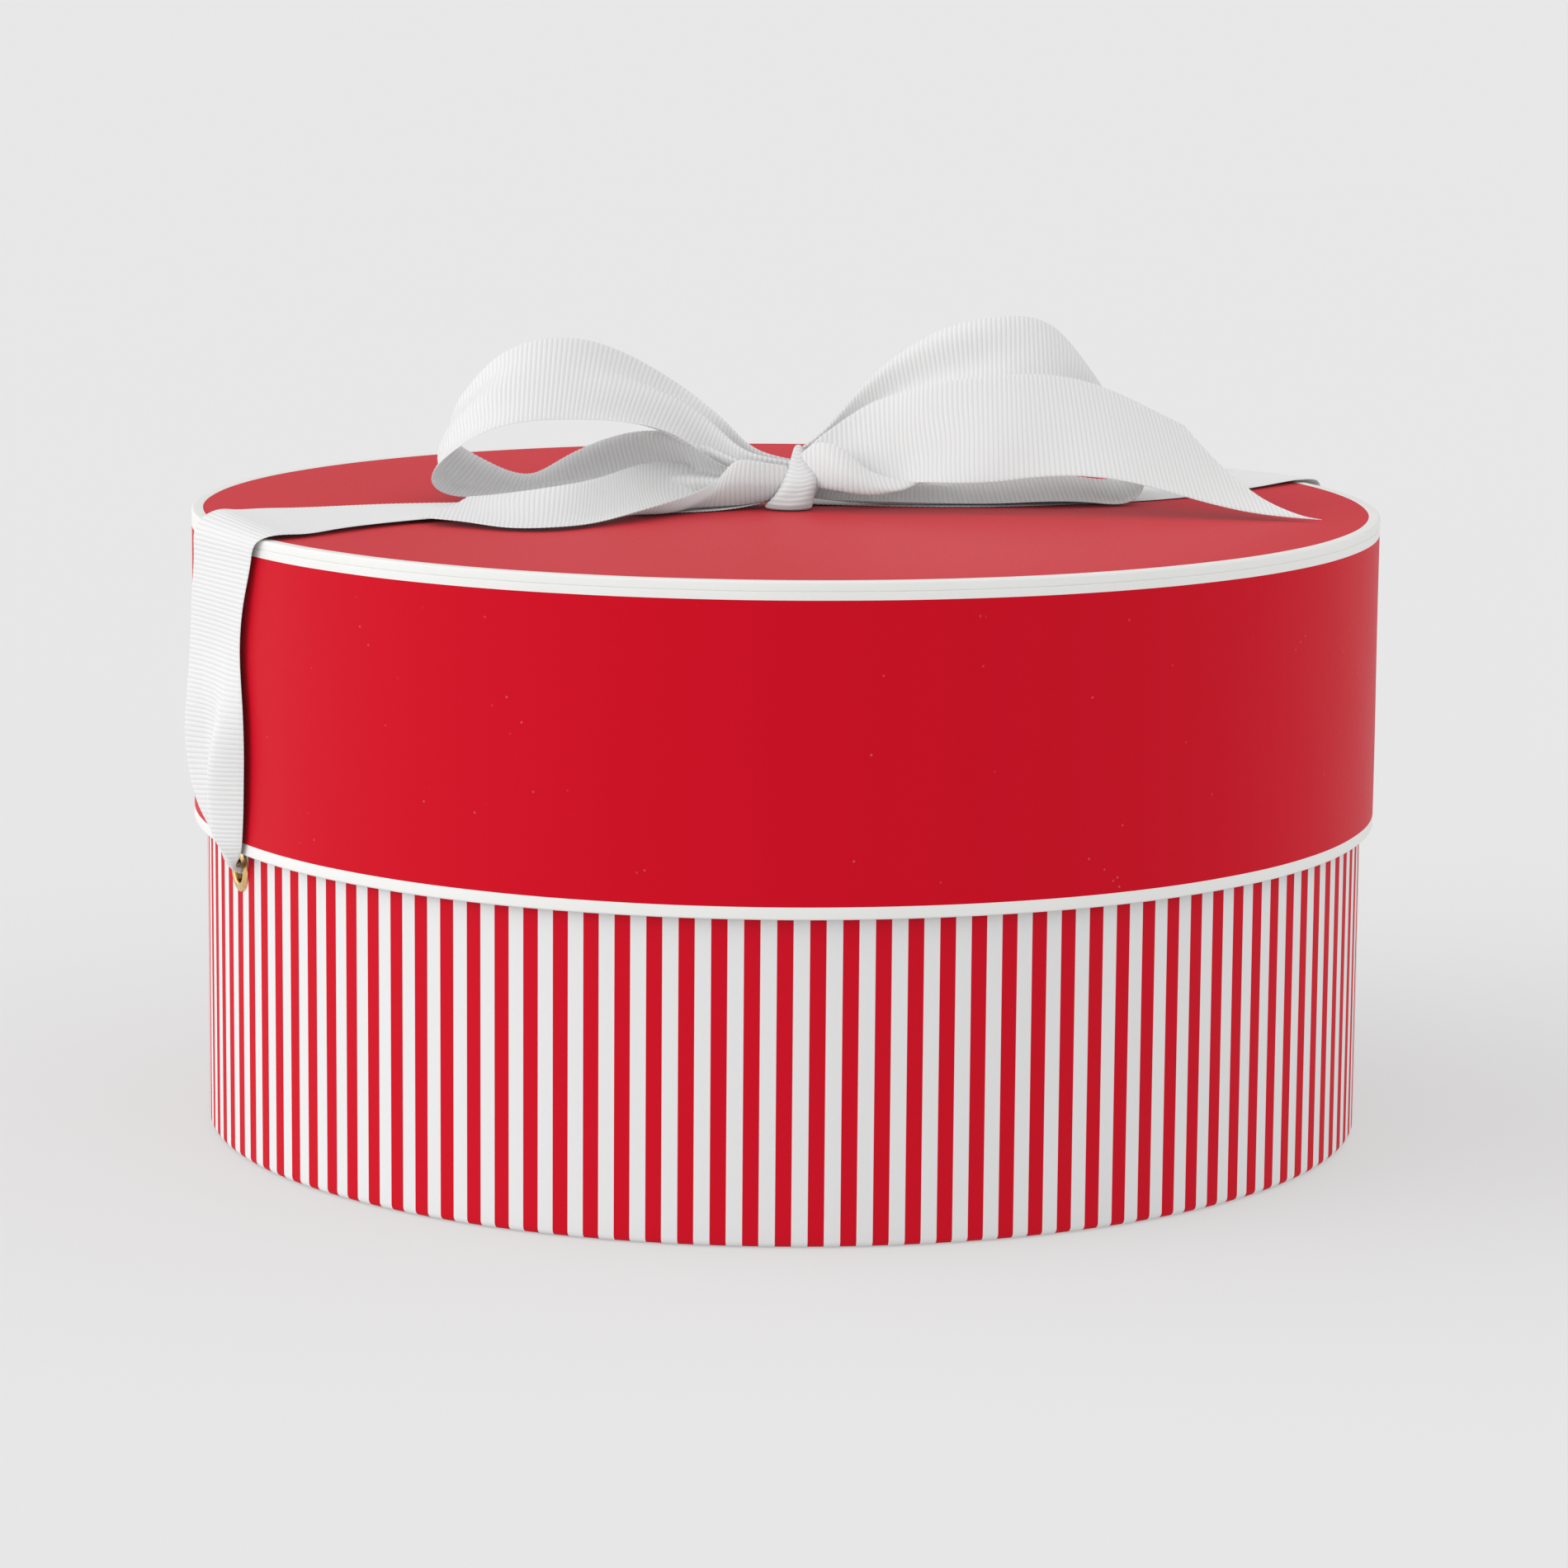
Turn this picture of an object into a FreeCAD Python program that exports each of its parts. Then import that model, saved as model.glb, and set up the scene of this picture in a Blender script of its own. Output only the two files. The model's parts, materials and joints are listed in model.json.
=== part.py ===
import FreeCAD, Part
import math
import os

import Sketcher
from FreeCAD import Placement, Rotation, Vector

# A round hat box: a striped cardboard base, a red lid, and a ribbon that comes up from a brass
# eyelet on each side and ties in a bow on the lid. Millimetres, +Z up. The origin is the middle of
# the underside, and the two eyelets lie on the X axis.

SIZES = {
    # The box.
    "overall_height": 186.0,
    "lid_radius": 178.0,
    "base_radius": 174.0,
    "board": 2.0,
    "paper": 0.25,
    # Base, from the ground up.
    "foot_round": 2.0,
    "wrap_turn_under": 14.0,
    "bottom_paper_margin": 6.0,
    "wrap_turn_in": 15.0,
    "rim_gap": 0.3,
    # Lid.
    "disc_board": 2.5,
    "lid_edge_height": 93.0,
    "lower_binding": 3.6,
    "lower_binding_inside": 12.0,
    "upper_binding": 2.4,
    "face_ring": 3.4,
    "tape_angle": 10.0,
    "tape": 0.12,
    # Eyelets.
    "eyelet_height": 86.6,
    "eyelet_hole": 3.5,
    "eyelet_barrel": 3.8,
    "eyelet_flange": 6.4,
    "eyelet_proud": 1.0,
    "eyelet_roll": 5.2,
    "flange_rounding": 0.9,
    "mouth_rounding": 0.5,
    "washer_radius": 7.2,
    "washer": 0.5,
    # Ribbon.
    "ribbon_width": 38.0,
    "ribbon": 0.5,
    "ribbon_gap": 0.3,
    "ribbon_bunch": 8.0,
    "ribbon_throat": 3.2,
    "bow_turn": -25.0,
    "knot_long": 30.0,
    "knot_wide": 20.0,
    "knot_high": 20.0,
    "knot_round": 5.0,
}

# Sizes that follow from the ones above.
WORKED_OUT = {
    "disc_top": "overall_height - paper",
    "disc_bottom": "disc_top - disc_board",
    "lid_ceiling": "disc_bottom - paper",
    "lid_board_out": "lid_radius - paper",
    "lid_board_in": "lid_board_out - board",
    "lid_lining_in": "lid_board_in - paper",
    "lower_binding_top": "lid_edge_height + lower_binding",
    "lid_board_bottom": "lid_edge_height + paper",
    "upper_binding_bottom": "disc_bottom - upper_binding",
    "base_board_out": "base_radius - paper",
    "base_board_in": "base_board_out - board",
    "base_lining_in": "base_board_in - paper",
    "base_rim": "lid_ceiling - rim_gap",
    "base_board_top": "base_rim - paper",
    "base_board_bottom": "paper * 2",
    "floor_board_top": "base_board_bottom + board",
    "floor_top": "floor_board_top + paper",
    "wrap_inner_edge": "base_radius - wrap_turn_under",
    "wrap_turn_in_bottom": "base_rim - wrap_turn_in",
    "bottom_paper_radius": "base_radius - bottom_paper_margin",
    "strand_face": "lid_radius + ribbon_gap",
    "strand_floor": "overall_height + ribbon_gap",
}

doc = FreeCAD.newDocument("hat_box")
sheet = doc.addObject("Spreadsheet::Sheet", "Sizes")
sheet.Label = "sizes"
cell_row = 0
for alias, value in list(SIZES.items()) + [(name, "=" + rule) for name, rule in WORKED_OUT.items()]:
    cell_row += 1
    sheet.set("A%d" % cell_row, alias)
    sheet.set("B%d" % cell_row, str(value))
    sheet.setAlias("B%d" % cell_row, alias)
doc.recompute()

EXACT = 1e-4
RIGHT, LEFT = 0.0, 180.0
SIDES = {"right": RIGHT, "left": LEFT}
nodes = {}


def size(alias):
    """A size from the sheet, as a number."""
    return float(getattr(sheet, alias))


def from_sheet(rule):
    """A rule such as 'disc_top - board' with each name read from the sheet."""
    words = rule.replace("(", "( ").replace(")", " )").split()
    return " ".join("Sizes." + word if word[0].isalpha() else word for word in words)


def number(rule):
    """The value of a rule of sums and products, worked out by the sheet's own engine."""
    return float(sheet.evalExpression(from_sheet(rule)))


def keep(node, part, angle=None):
    """Names a finished sub-part, and turns it about Z if an angle is given."""
    part.Label = node
    if angle is not None:
        part.Placement = Placement(Vector(), Rotation(Vector(0, 0, 1), angle))
    nodes[node] = part
    return part


def new_body(name):
    return doc.addObject("PartDesign::Body", name)


def sketch_on(body, plane, name):
    """An empty sketch on one of the body's own origin planes."""
    origin_plane = [f for f in body.Origin.OriginFeatures if f.Role == plane][0]
    sketch = body.newObject("Sketcher::SketchObject", name)
    sketch.AttachmentSupport = [(origin_plane, "")]
    sketch.MapMode = "FlatFace"
    return sketch


def closed_outline(sketch, corners):
    """Straight sides through corners given as pairs of rules, each corner held at its distances."""
    places = [Vector(number(across), number(up), 0) for across, up in corners]
    for i, place in enumerate(places):
        sketch.addGeometry(Part.LineSegment(place, places[(i + 1) % len(places)]), False)
    for i in range(len(places)):
        following = (i + 1) % len(places)
        sketch.addConstraint(Sketcher.Constraint("Coincident", i, 2, following, 1))
    for i, (across, up) in enumerate(corners):
        for kind, rule, value in (("DistanceX", across, places[i].x), ("DistanceY", up, places[i].y)):
            spot = sketch.addConstraint(Sketcher.Constraint(kind, -1, 1, i, 1, value))
            sketch.setExpression("Constraints[%d]" % spot, from_sheet(rule))


def turned(name, corners, angle=None):
    """A body of revolution about Z from a profile of (radius, height) corners."""
    body = new_body(name)
    profile = sketch_on(body, "XZ_Plane", name + "_profile")
    closed_outline(profile, corners)
    turn = body.newObject("PartDesign::Revolution", name + "_turn")
    turn.Profile = profile
    turn.ReferenceAxis = (profile, ["V_Axis"])
    if angle is None:
        turn.Angle = 360.0
    else:
        turn.Midplane = True
        turn.setExpression("Angle", from_sheet(angle))
    doc.recompute()
    return body


def ring_edges(shape, radius, height):
    """Names of the circular edges about Z that have this radius and height."""
    found = []
    for i, edge in enumerate(shape.Edges):
        curve = edge.Curve
        if not isinstance(curve, Part.Circle):
            continue
        on_radius = abs(curve.Radius - number(radius)) < EXACT
        if on_radius and abs(curve.Center.z - number(height)) < EXACT:
            found.append("Edge%d" % (i + 1))
    return found


def rounded_ring(body, name, radius, height, rounding):
    """Rounds the corner that runs round the body at this radius and height."""
    base = body.Tip
    fillet = body.newObject("PartDesign::Fillet", name)
    fillet.Base = (base, ring_edges(base.Shape, radius, height))
    fillet.setExpression("Radius", from_sheet(rounding))
    doc.recompute()


def bored_for_eyelets(body, name):
    """Bores the wall through on both sides, along X, for the two eyelets' barrels."""
    before = body.Shape.Volume
    circle = sketch_on(body, "YZ_Plane", name + "_circle")
    centre = Vector(0, size("eyelet_height"), 0)
    circle.addGeometry(Part.Circle(centre, Vector(0, 0, 1), size("eyelet_barrel")), False)
    circle.addConstraint(Sketcher.Constraint("PointOnObject", 0, 3, -2))
    height = circle.addConstraint(Sketcher.Constraint("DistanceY", -1, 1, 0, 3, size("eyelet_height")))
    circle.setExpression("Constraints[%d]" % height, "Sizes.eyelet_height")
    radius = circle.addConstraint(Sketcher.Constraint("Radius", 0, size("eyelet_barrel")))
    circle.setExpression("Constraints[%d]" % radius, "Sizes.eyelet_barrel")
    bore = body.newObject("PartDesign::Pocket", name)
    bore.Profile = circle
    bore.Midplane = True
    bore.setExpression("Length", "Sizes.lid_radius * 2")
    doc.recompute()
    removed = before - body.Shape.Volume
    thickness = 2 * removed / (2 * math.pi * size("eyelet_barrel") ** 2)
    print("%s removes %.1f mm3, through %.2f mm in all" % (name, removed, thickness))
    if removed < 1.0:
        raise ValueError(name + " cut nothing")


# ---- Base ----------------------------------------------------------------------------------

def base_bottom_board():
    keep("base_bottom_board", turned("bottom_board", [
        ("0", "base_board_bottom"),
        ("base_board_in", "base_board_bottom"),
        ("base_board_in", "floor_board_top"),
        ("0", "floor_board_top"),
    ]))


def base_wall_board():
    body = turned("wall_board", [
        ("base_board_in", "base_board_bottom"),
        ("base_board_out", "base_board_bottom"),
        ("base_board_out", "base_board_top"),
        ("base_board_in", "base_board_top"),
    ])
    rounded_ring(body, "foot_rounding", "base_board_out", "base_board_bottom", "foot_round - paper")
    bored_for_eyelets(body, "wall_board_bore")
    keep("base_wall_board", body)


def base_stripe_wrap():
    body = turned("stripe_wrap", [
        ("wrap_inner_edge", "paper"),
        ("base_radius", "paper"),
        ("base_radius", "base_rim"),
        ("base_lining_in", "base_rim"),
        ("base_lining_in", "wrap_turn_in_bottom"),
        ("base_board_in", "wrap_turn_in_bottom"),
        ("base_board_in", "base_board_top"),
        ("base_board_out", "base_board_top"),
        ("base_board_out", "base_board_bottom"),
        ("wrap_inner_edge", "base_board_bottom"),
    ])
    rounded_ring(body, "wrap_foot_outside", "base_radius", "paper", "foot_round")
    rounded_ring(body, "wrap_foot_inside", "base_board_out", "base_board_bottom", "foot_round - paper")
    bored_for_eyelets(body, "stripe_wrap_bore")
    keep("base_stripe_wrap", body)


def base_bottom_paper():
    keep("base_bottom_paper", turned("bottom_paper", [
        ("0", "0"),
        ("bottom_paper_radius", "0"),
        ("bottom_paper_radius", "paper"),
        ("wrap_inner_edge", "paper"),
        ("wrap_inner_edge", "base_board_bottom"),
        ("0", "base_board_bottom"),
    ]))


def joint_tape(node, board_inside, low, high, angle):
    """Gummed tape inside a wall, over the butt joint in its board."""
    keep(node, turned(node + "_strip", [
        (board_inside + " - tape", low),
        (board_inside, low),
        (board_inside, high),
        (board_inside + " - tape", high),
    ], "tape_angle"), angle)


def lined_over_tape(node, lining, tape):
    """A lining with room behind it for the tape."""
    cut = doc.addObject("Part::Cut", node)
    cut.Base = lining
    cut.Tool = nodes[tape]
    doc.recompute()
    keep(node, cut)


def base_linings():
    joint_tape("base_wall_seam_tape", "base_board_in", "floor_top", "wrap_turn_in_bottom", 90.0)
    lining = turned("wall_lining", [
        ("base_lining_in", "floor_top"),
        ("base_board_in", "floor_top"),
        ("base_board_in", "wrap_turn_in_bottom"),
        ("base_lining_in", "wrap_turn_in_bottom"),
    ])
    bored_for_eyelets(lining, "wall_lining_bore")
    lined_over_tape("base_wall_lining", lining, "base_wall_seam_tape")
    keep("base_floor_lining", turned("floor_lining", [
        ("0", "floor_board_top"),
        ("base_board_in", "floor_board_top"),
        ("base_board_in", "floor_top"),
        ("0", "floor_top"),
    ]))


# ---- Lid -----------------------------------------------------------------------------------

def lid_top_board():
    keep("lid_top_board", turned("disc_board_disc", [
        ("0", "disc_bottom"),
        ("lid_board_out", "disc_bottom"),
        ("lid_board_out", "disc_top"),
        ("0", "disc_top"),
    ]))


def lid_top_edge_binding():
    keep("lid_top_edge_binding", turned("disc_binding", [
        ("lid_board_out", "disc_bottom"),
        ("lid_radius", "disc_bottom"),
        ("lid_radius", "overall_height"),
        ("lid_radius - face_ring", "overall_height"),
        ("lid_radius - face_ring", "disc_top"),
        ("lid_board_out", "disc_top"),
    ]))


def lid_top_paper():
    keep("lid_top_paper", turned("top_paper", [
        ("0", "disc_top"),
        ("lid_radius - face_ring", "disc_top"),
        ("lid_radius - face_ring", "overall_height"),
        ("0", "overall_height"),
    ]))


def lid_wall():
    keep("lid_wall_board", turned("hoop_board", [
        ("lid_board_in", "lid_board_bottom"),
        ("lid_board_out", "lid_board_bottom"),
        ("lid_board_out", "disc_bottom"),
        ("lid_board_in", "disc_bottom"),
    ]))
    keep("lid_wall_paper", turned("hoop_paper", [
        ("lid_board_out", "lower_binding_top"),
        ("lid_radius", "lower_binding_top"),
        ("lid_radius", "upper_binding_bottom"),
        ("lid_board_out", "upper_binding_bottom"),
    ]))
    keep("lid_wall_top_binding", turned("hoop_top_binding", [
        ("lid_board_out", "upper_binding_bottom"),
        ("lid_radius", "upper_binding_bottom"),
        ("lid_radius", "disc_bottom"),
        ("lid_board_out", "disc_bottom"),
    ]))
    inside_top = "lid_edge_height + lower_binding_inside"
    keep("lid_bottom_edge_binding", turned("hoop_bottom_binding", [
        ("lid_lining_in - paper", "lid_edge_height"),
        ("lid_radius", "lid_edge_height"),
        ("lid_radius", "lower_binding_top"),
        ("lid_board_out", "lower_binding_top"),
        ("lid_board_out", "lid_board_bottom"),
        ("lid_lining_in", "lid_board_bottom"),
        ("lid_lining_in", inside_top),
        ("lid_lining_in - paper", inside_top),
    ]))


def lid_linings():
    joint_tape("lid_wall_seam_tape", "lid_board_in", "lid_board_bottom", "lid_ceiling", 90.0)
    lining = turned("hoop_lining", [
        ("lid_lining_in", "lid_board_bottom"),
        ("lid_board_in", "lid_board_bottom"),
        ("lid_board_in", "disc_bottom"),
        ("lid_lining_in", "disc_bottom"),
    ])
    lined_over_tape("lid_wall_lining", lining, "lid_wall_seam_tape")
    keep("lid_top_lining", turned("disc_lining", [
        ("0", "lid_ceiling"),
        ("lid_lining_in", "lid_ceiling"),
        ("lid_lining_in", "disc_bottom"),
        ("0", "disc_bottom"),
    ]))


# ---- Eyelets -------------------------------------------------------------------------------

def cylinder_along_x(name, radius, start, end, way=1):
    """A cylinder along X at the eyelets' height. Its way is 1 towards +X or -1 towards -X."""
    cylinder = doc.addObject("Part::Cylinder", name)
    cylinder.setExpression("Radius", from_sheet(radius))
    cylinder.setExpression("Height", from_sheet(end + " - ( " + start + " )"))
    cylinder.Placement = Placement(Vector(), Rotation(Vector(0, 1, 0), 90 * way))
    cylinder.setExpression("Placement.Base.x", from_sheet("( " + start + " ) * %d" % way))
    cylinder.setExpression("Placement.Base.z", "Sizes.eyelet_height")
    return cylinder


def tube_along_x(name, outside, inside, start, end):
    """A round tube along X at the eyelets' height, from rules for its radii and its two ends."""
    tube = doc.addObject("Part::Cut", name)
    tube.Base = cylinder_along_x(name + "_outside", outside, start, end)
    tube.Tool = cylinder_along_x(name + "_inside", inside, start, end)
    doc.recompute()
    return tube


def wall_tube(name, inside, outside):
    """A stretch of a round wall at the eyelets' height, to shape what is pressed against it."""
    low, high = "eyelet_height - washer_radius * 2", "eyelet_height + washer_radius * 2"
    return turned(name, [(inside, low), (outside, low), (outside, high), (inside, high)])


def domed_edges(flange):
    """The flange's two outer-face edges, with the rounding that each one gets."""
    face = number("base_radius + eyelet_proud")
    edges = []
    for i, edge in enumerate(flange.Edges):
        if not isinstance(edge.Curve, Part.Circle) or abs(edge.Curve.Center.x - face) > EXACT:
            continue
        on_rim = abs(edge.Curve.Radius - size("eyelet_flange")) < EXACT
        rounding = size("flange_rounding") if on_rim else size("mouth_rounding")
        edges.append((i + 1, rounding, rounding))
    return edges


def eyelets():
    """Each is a domed flange outside, a barrel through the wall and a rolled end inside."""
    inner_face = "base_lining_in - washer"
    for side, angle in SIDES.items():
        flange = tube_along_x("flange_" + side, "eyelet_flange", "eyelet_hole",
                              "base_board_out", "base_radius + eyelet_proud")
        barrel = tube_along_x("barrel_" + side, "eyelet_barrel", "eyelet_hole",
                              inner_face + " - eyelet_proud", "base_radius")
        roll = tube_along_x("roll_" + side, "eyelet_roll", "eyelet_hole",
                            inner_face + " - eyelet_proud", "base_lining_in")
        dome = doc.addObject("Part::Fillet", "dome_" + side)
        dome.Base = flange
        dome.Edges = domed_edges(flange.Shape)
        doc.recompute()
        spool = doc.addObject("Part::MultiFuse", "spool_" + side)
        spool.Shapes = [dome, barrel, roll]
        stack = wall_tube("stack_" + side, inner_face, "base_radius")
        pierced = doc.addObject("Part::Cut", "pierced_" + side)
        pierced.Base = stack
        pierced.Tool = cylinder_along_x("stack_bore_" + side, "eyelet_barrel",
                                        "base_board_in - board * 3", "base_radius + board")
        shaped = doc.addObject("Part::Cut", "eyelet_shape_" + side)
        shaped.Base = spool
        shaped.Tool = pierced
        doc.recompute()
        keep("eyelet_" + side, shaped, angle)


def eyelet_washers():
    for side, angle in SIDES.items():
        blank = tube_along_x("washer_blank_" + side, "washer_radius", "eyelet_barrel",
                             "base_board_in - board * 2", "base_board_in")
        shell = wall_tube("washer_shell_" + side, "base_lining_in - washer", "base_lining_in")
        washer = doc.addObject("Part::Common", "washer_" + side)
        washer.Base = blank
        washer.Tool = shell
        doc.recompute()
        keep("eyelet_washer_" + side, washer, angle)


# ---- Ribbon --------------------------------------------------------------------------------

def padded(name, plane, corners, depth, offset):
    """A straight-sided outline on an origin plane, padded by a rule from an offset."""
    body = new_body(name)
    outline = sketch_on(body, plane, name + "_outline")
    outline.setExpression("AttachmentOffset.Base.z", from_sheet(offset))
    closed_outline(outline, corners)
    pad = body.newObject("PartDesign::Pad", name + "_pad")
    pad.Profile = outline
    pad.setExpression("Length", from_sheet(depth))
    doc.recompute()
    return body


def ribbon_sides():
    """Each strand stands just off the lid's wall and narrows to a bunch at the eyelet."""
    low = "eyelet_height - ribbon_throat"
    high = "strand_floor"
    spread = "lid_edge_height + ribbon_width"
    for side, angle in SIDES.items():
        keep("ribbon_side_" + side, padded("side_" + side, "YZ_Plane", [
            ("ribbon_bunch / 2 * -1", low),
            ("ribbon_bunch / 2", low),
            ("ribbon_width / 2", spread),
            ("ribbon_width / 2", high),
            ("ribbon_width / 2 * -1", high),
            ("ribbon_width / 2 * -1", spread),
        ], "ribbon", "strand_face"), angle)


def ribbon_stop_knots():
    """A knot inside the wall, drawn up against the eyelet, and the bunch that fills the eyelet."""
    rolled_end = "base_lining_in - washer - eyelet_proud"
    for side, way in (("right", 1), ("left", -1)):
        stop = doc.addObject("Part::Ellipsoid", "stop_" + side)
        stop.setExpression("Radius1", from_sheet("ribbon_bunch * 0.75"))
        stop.setExpression("Radius2", from_sheet("ribbon_bunch * 0.75"))
        stop.setExpression("Radius3", from_sheet("ribbon_bunch * 0.9"))
        centre = "( " + rolled_end + " - ribbon_bunch * 0.75 ) * %d" % way
        stop.setExpression("Placement.Base.x", from_sheet(centre))
        stop.setExpression("Placement.Base.z", "Sizes.eyelet_height")
        throat = doc.addObject("Part::Cut", "throat_" + side)
        throat.Base = cylinder_along_x("bunch_" + side, "ribbon_throat",
                                       rolled_end + " - ribbon_throat", "strand_face", way)
        throat.Tool = stop
        doc.recompute()
        keep("ribbon_throat_" + side, throat)
        keep("ribbon_knot_" + side, stop)


def ribbon_tops():
    """Each strand lies across the lid from under the bow's knot out over the lid's edge."""
    for side, angle in SIDES.items():
        keep("ribbon_top_" + side, padded("top_" + side, "XY_Plane", [
            ("0", "ribbon_width / 2 * -1"),
            ("strand_face + ribbon", "ribbon_width / 2 * -1"),
            ("strand_face + ribbon", "ribbon_width / 2"),
            ("0", "ribbon_width / 2"),
        ], "ribbon", "strand_floor"), angle)


def belt_face(rolls, near, inset):
    """The face inside a belt drawn round rolls (x, z, radius) that are in order, turning left.

    Each straight run touches two rolls along their shared outer tangent, and an arc joins the
    runs round each roll. The inset makes every roll smaller, which gives the belt's inner face.
    The face stands across Y at the near distance.
    """
    runs = []
    for i, (x, z, radius) in enumerate(rolls):
        next_x, next_z, next_radius = rolls[(i + 1) % len(rolls)]
        span = math.hypot(next_x - x, next_z - z)
        along = Vector((next_x - x) / span, 0, (next_z - z) / span)
        outward = Vector(along.z, 0, -along.x)
        lean = (radius - next_radius) / span
        normal = along * lean + outward * math.sqrt(1 - lean * lean)
        leaves = Vector(x, near, z) + normal * (radius - inset)
        arrives = Vector(next_x, near, next_z) + normal * (next_radius - inset)
        runs.append((normal, leaves, arrives))
    curves = []
    for i, (x, z, radius) in enumerate(rolls):
        before, after = runs[i - 1], runs[i]
        middle = before[0] + after[0]
        middle.normalize()
        crest = Vector(x, near, z) + middle * (radius - inset)
        curves.append(Part.Arc(before[2], crest, after[1]).toShape())
        curves.append(Part.LineSegment(after[1], after[2]).toShape())
    return Part.Face(Part.Wire(curves))


def looped_band(node, rolls, near):
    """A band of ribbon bent round rolls, one ribbon's width from its near edge back."""
    band = belt_face(rolls, near, 0).cut(belt_face(rolls, near, size("ribbon")))
    feature = doc.addObject("Part::Feature", node + "_band")
    feature.Shape = band.extrude(Vector(0, size("ribbon_width"), 0))
    keep(node, feature, size("bow_turn"))


def bow_loops():
    """The left loop leans low, and the right one stands tall behind the right tail."""
    floor = size("strand_floor") + size("ribbon") * 3
    throat = 5.0
    knot_side = size("knot_wide") / 2 + throat
    looped_band("bow_loop_left", [
        (-knot_side, floor + 10.0, throat),
        (-62.0, floor + 26.0, 19.0),
        (-92.0, floor + 9.0, 9.0),
    ], -size("ribbon_width") / 2)
    looped_band("bow_loop_right", [
        (knot_side, floor + 10.0, throat),
        (108.0, floor + 4.0, 4.0),
        (68.0, floor + 36.0, 17.0),
    ], 2.0)


def bow_tail_right():
    """An arch of ribbon from the knot down to a pointed tip on the lid."""
    far = -2.0
    near = far - size("ribbon_width")
    start = Vector(size("knot_wide") / 2, near, 199.0)
    crown = Vector(76.0, near, 211.0)
    tip = Vector(158.0, near, 187.5)
    up = Vector(0, 0, size("ribbon"))
    side = Part.Face(Part.Wire([
        Part.Arc(start, crown, tip).toShape(),
        Part.LineSegment(tip, tip + up).toShape(),
        Part.Arc(tip + up, crown + up, start + up).toShape(),
        Part.LineSegment(start + up, start).toShape(),
    ]))
    band = side.extrude(Vector(0, size("ribbon_width"), 0))
    short_side = Vector(114.0, far, 0)
    beyond = Vector(tip.x + 5.0, far, 0)
    slant = Part.Face(Part.makePolygon([short_side, beyond, Vector(beyond.x, near, 0),
                                        Vector(tip.x, near, 0), short_side]))
    feature = doc.addObject("Part::Feature", "tail_right_band")
    feature.Shape = band.cut(slant.extrude(Vector(0, 0, crown.z * 2)))
    keep("bow_tail_right", feature, size("bow_turn"))


def bow_tail_left():
    """A flat slip of ribbon over the left strand, cut on the slant."""
    keep("bow_tail_left", padded("tail_left", "XY_Plane", [
        ("knot_wide / 2 * -1", "ribbon_width * -0.68"),
        ("knot_wide / 2 * -1", "ribbon_width * 0.32"),
        ("knot_wide * -5", "ribbon_width * -0.64"),
        ("knot_wide * -5.5", "ribbon_width * -1.64"),
    ], "ribbon", "strand_floor + ribbon * 1.5"), size("bow_turn"))


def bow_knot():
    """A rounded lump with the ribbon's crossing turn round it."""
    body = padded("knot_block", "XY_Plane", [
        ("knot_wide / 2 * -1", "knot_long * -0.6"),
        ("knot_wide / 2", "knot_long * -0.6"),
        ("knot_wide / 2", "knot_long * 0.4"),
        ("knot_wide / 2 * -1", "knot_long * 0.4"),
    ], "knot_high", "strand_floor + ribbon")
    block = body.Tip
    rounding = body.newObject("PartDesign::Fillet", "knot_rounding")
    upper = ["Edge%d" % (i + 1) for i, edge in enumerate(block.Shape.Edges)
             if edge.BoundBox.ZMax > number("strand_floor + knot_high / 2")]
    rounding.Base = (block, upper)
    rounding.setExpression("Radius", "Sizes.knot_round")
    doc.recompute()
    keep("bow_knot", body, size("bow_turn"))


def main():
    base_bottom_board()
    base_wall_board()
    base_stripe_wrap()
    base_bottom_paper()
    base_linings()
    lid_top_board()
    lid_top_edge_binding()
    lid_top_paper()
    lid_wall()
    lid_linings()
    eyelets()
    eyelet_washers()
    ribbon_sides()
    ribbon_stop_knots()
    ribbon_tops()
    bow_knot()
    bow_loops()
    bow_tail_left()
    bow_tail_right()
    doc.recompute()
    for thing in doc.Objects:
        if "Invalid" in thing.State or "Error" in thing.State:
            raise ValueError("%s failed: %s" % (thing.Name, thing.State))
    os.makedirs("parts", exist_ok=True)
    for node, part in nodes.items():
        shape = part.Shape
        if shape.isNull() or not shape.isValid() or not shape.Solids:
            raise ValueError(node + " has no valid solid")
        shape.exportStep("parts/%s.step" % node)
        box = shape.optimalBoundingBox(False)
        print("%-26s solids %d  x %.2f..%.2f  y %.2f..%.2f  z %.2f..%.2f  %.1f mm3" % (
            node, len(shape.Solids), box.XMin, box.XMax, box.YMin, box.YMax, box.ZMin, box.ZMax,
            shape.Volume))


main()
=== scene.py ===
"""A round hat box with a striped base, a red lid and a white ribbon bow, dressed on its CAD frame."""

import json
import math

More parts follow.
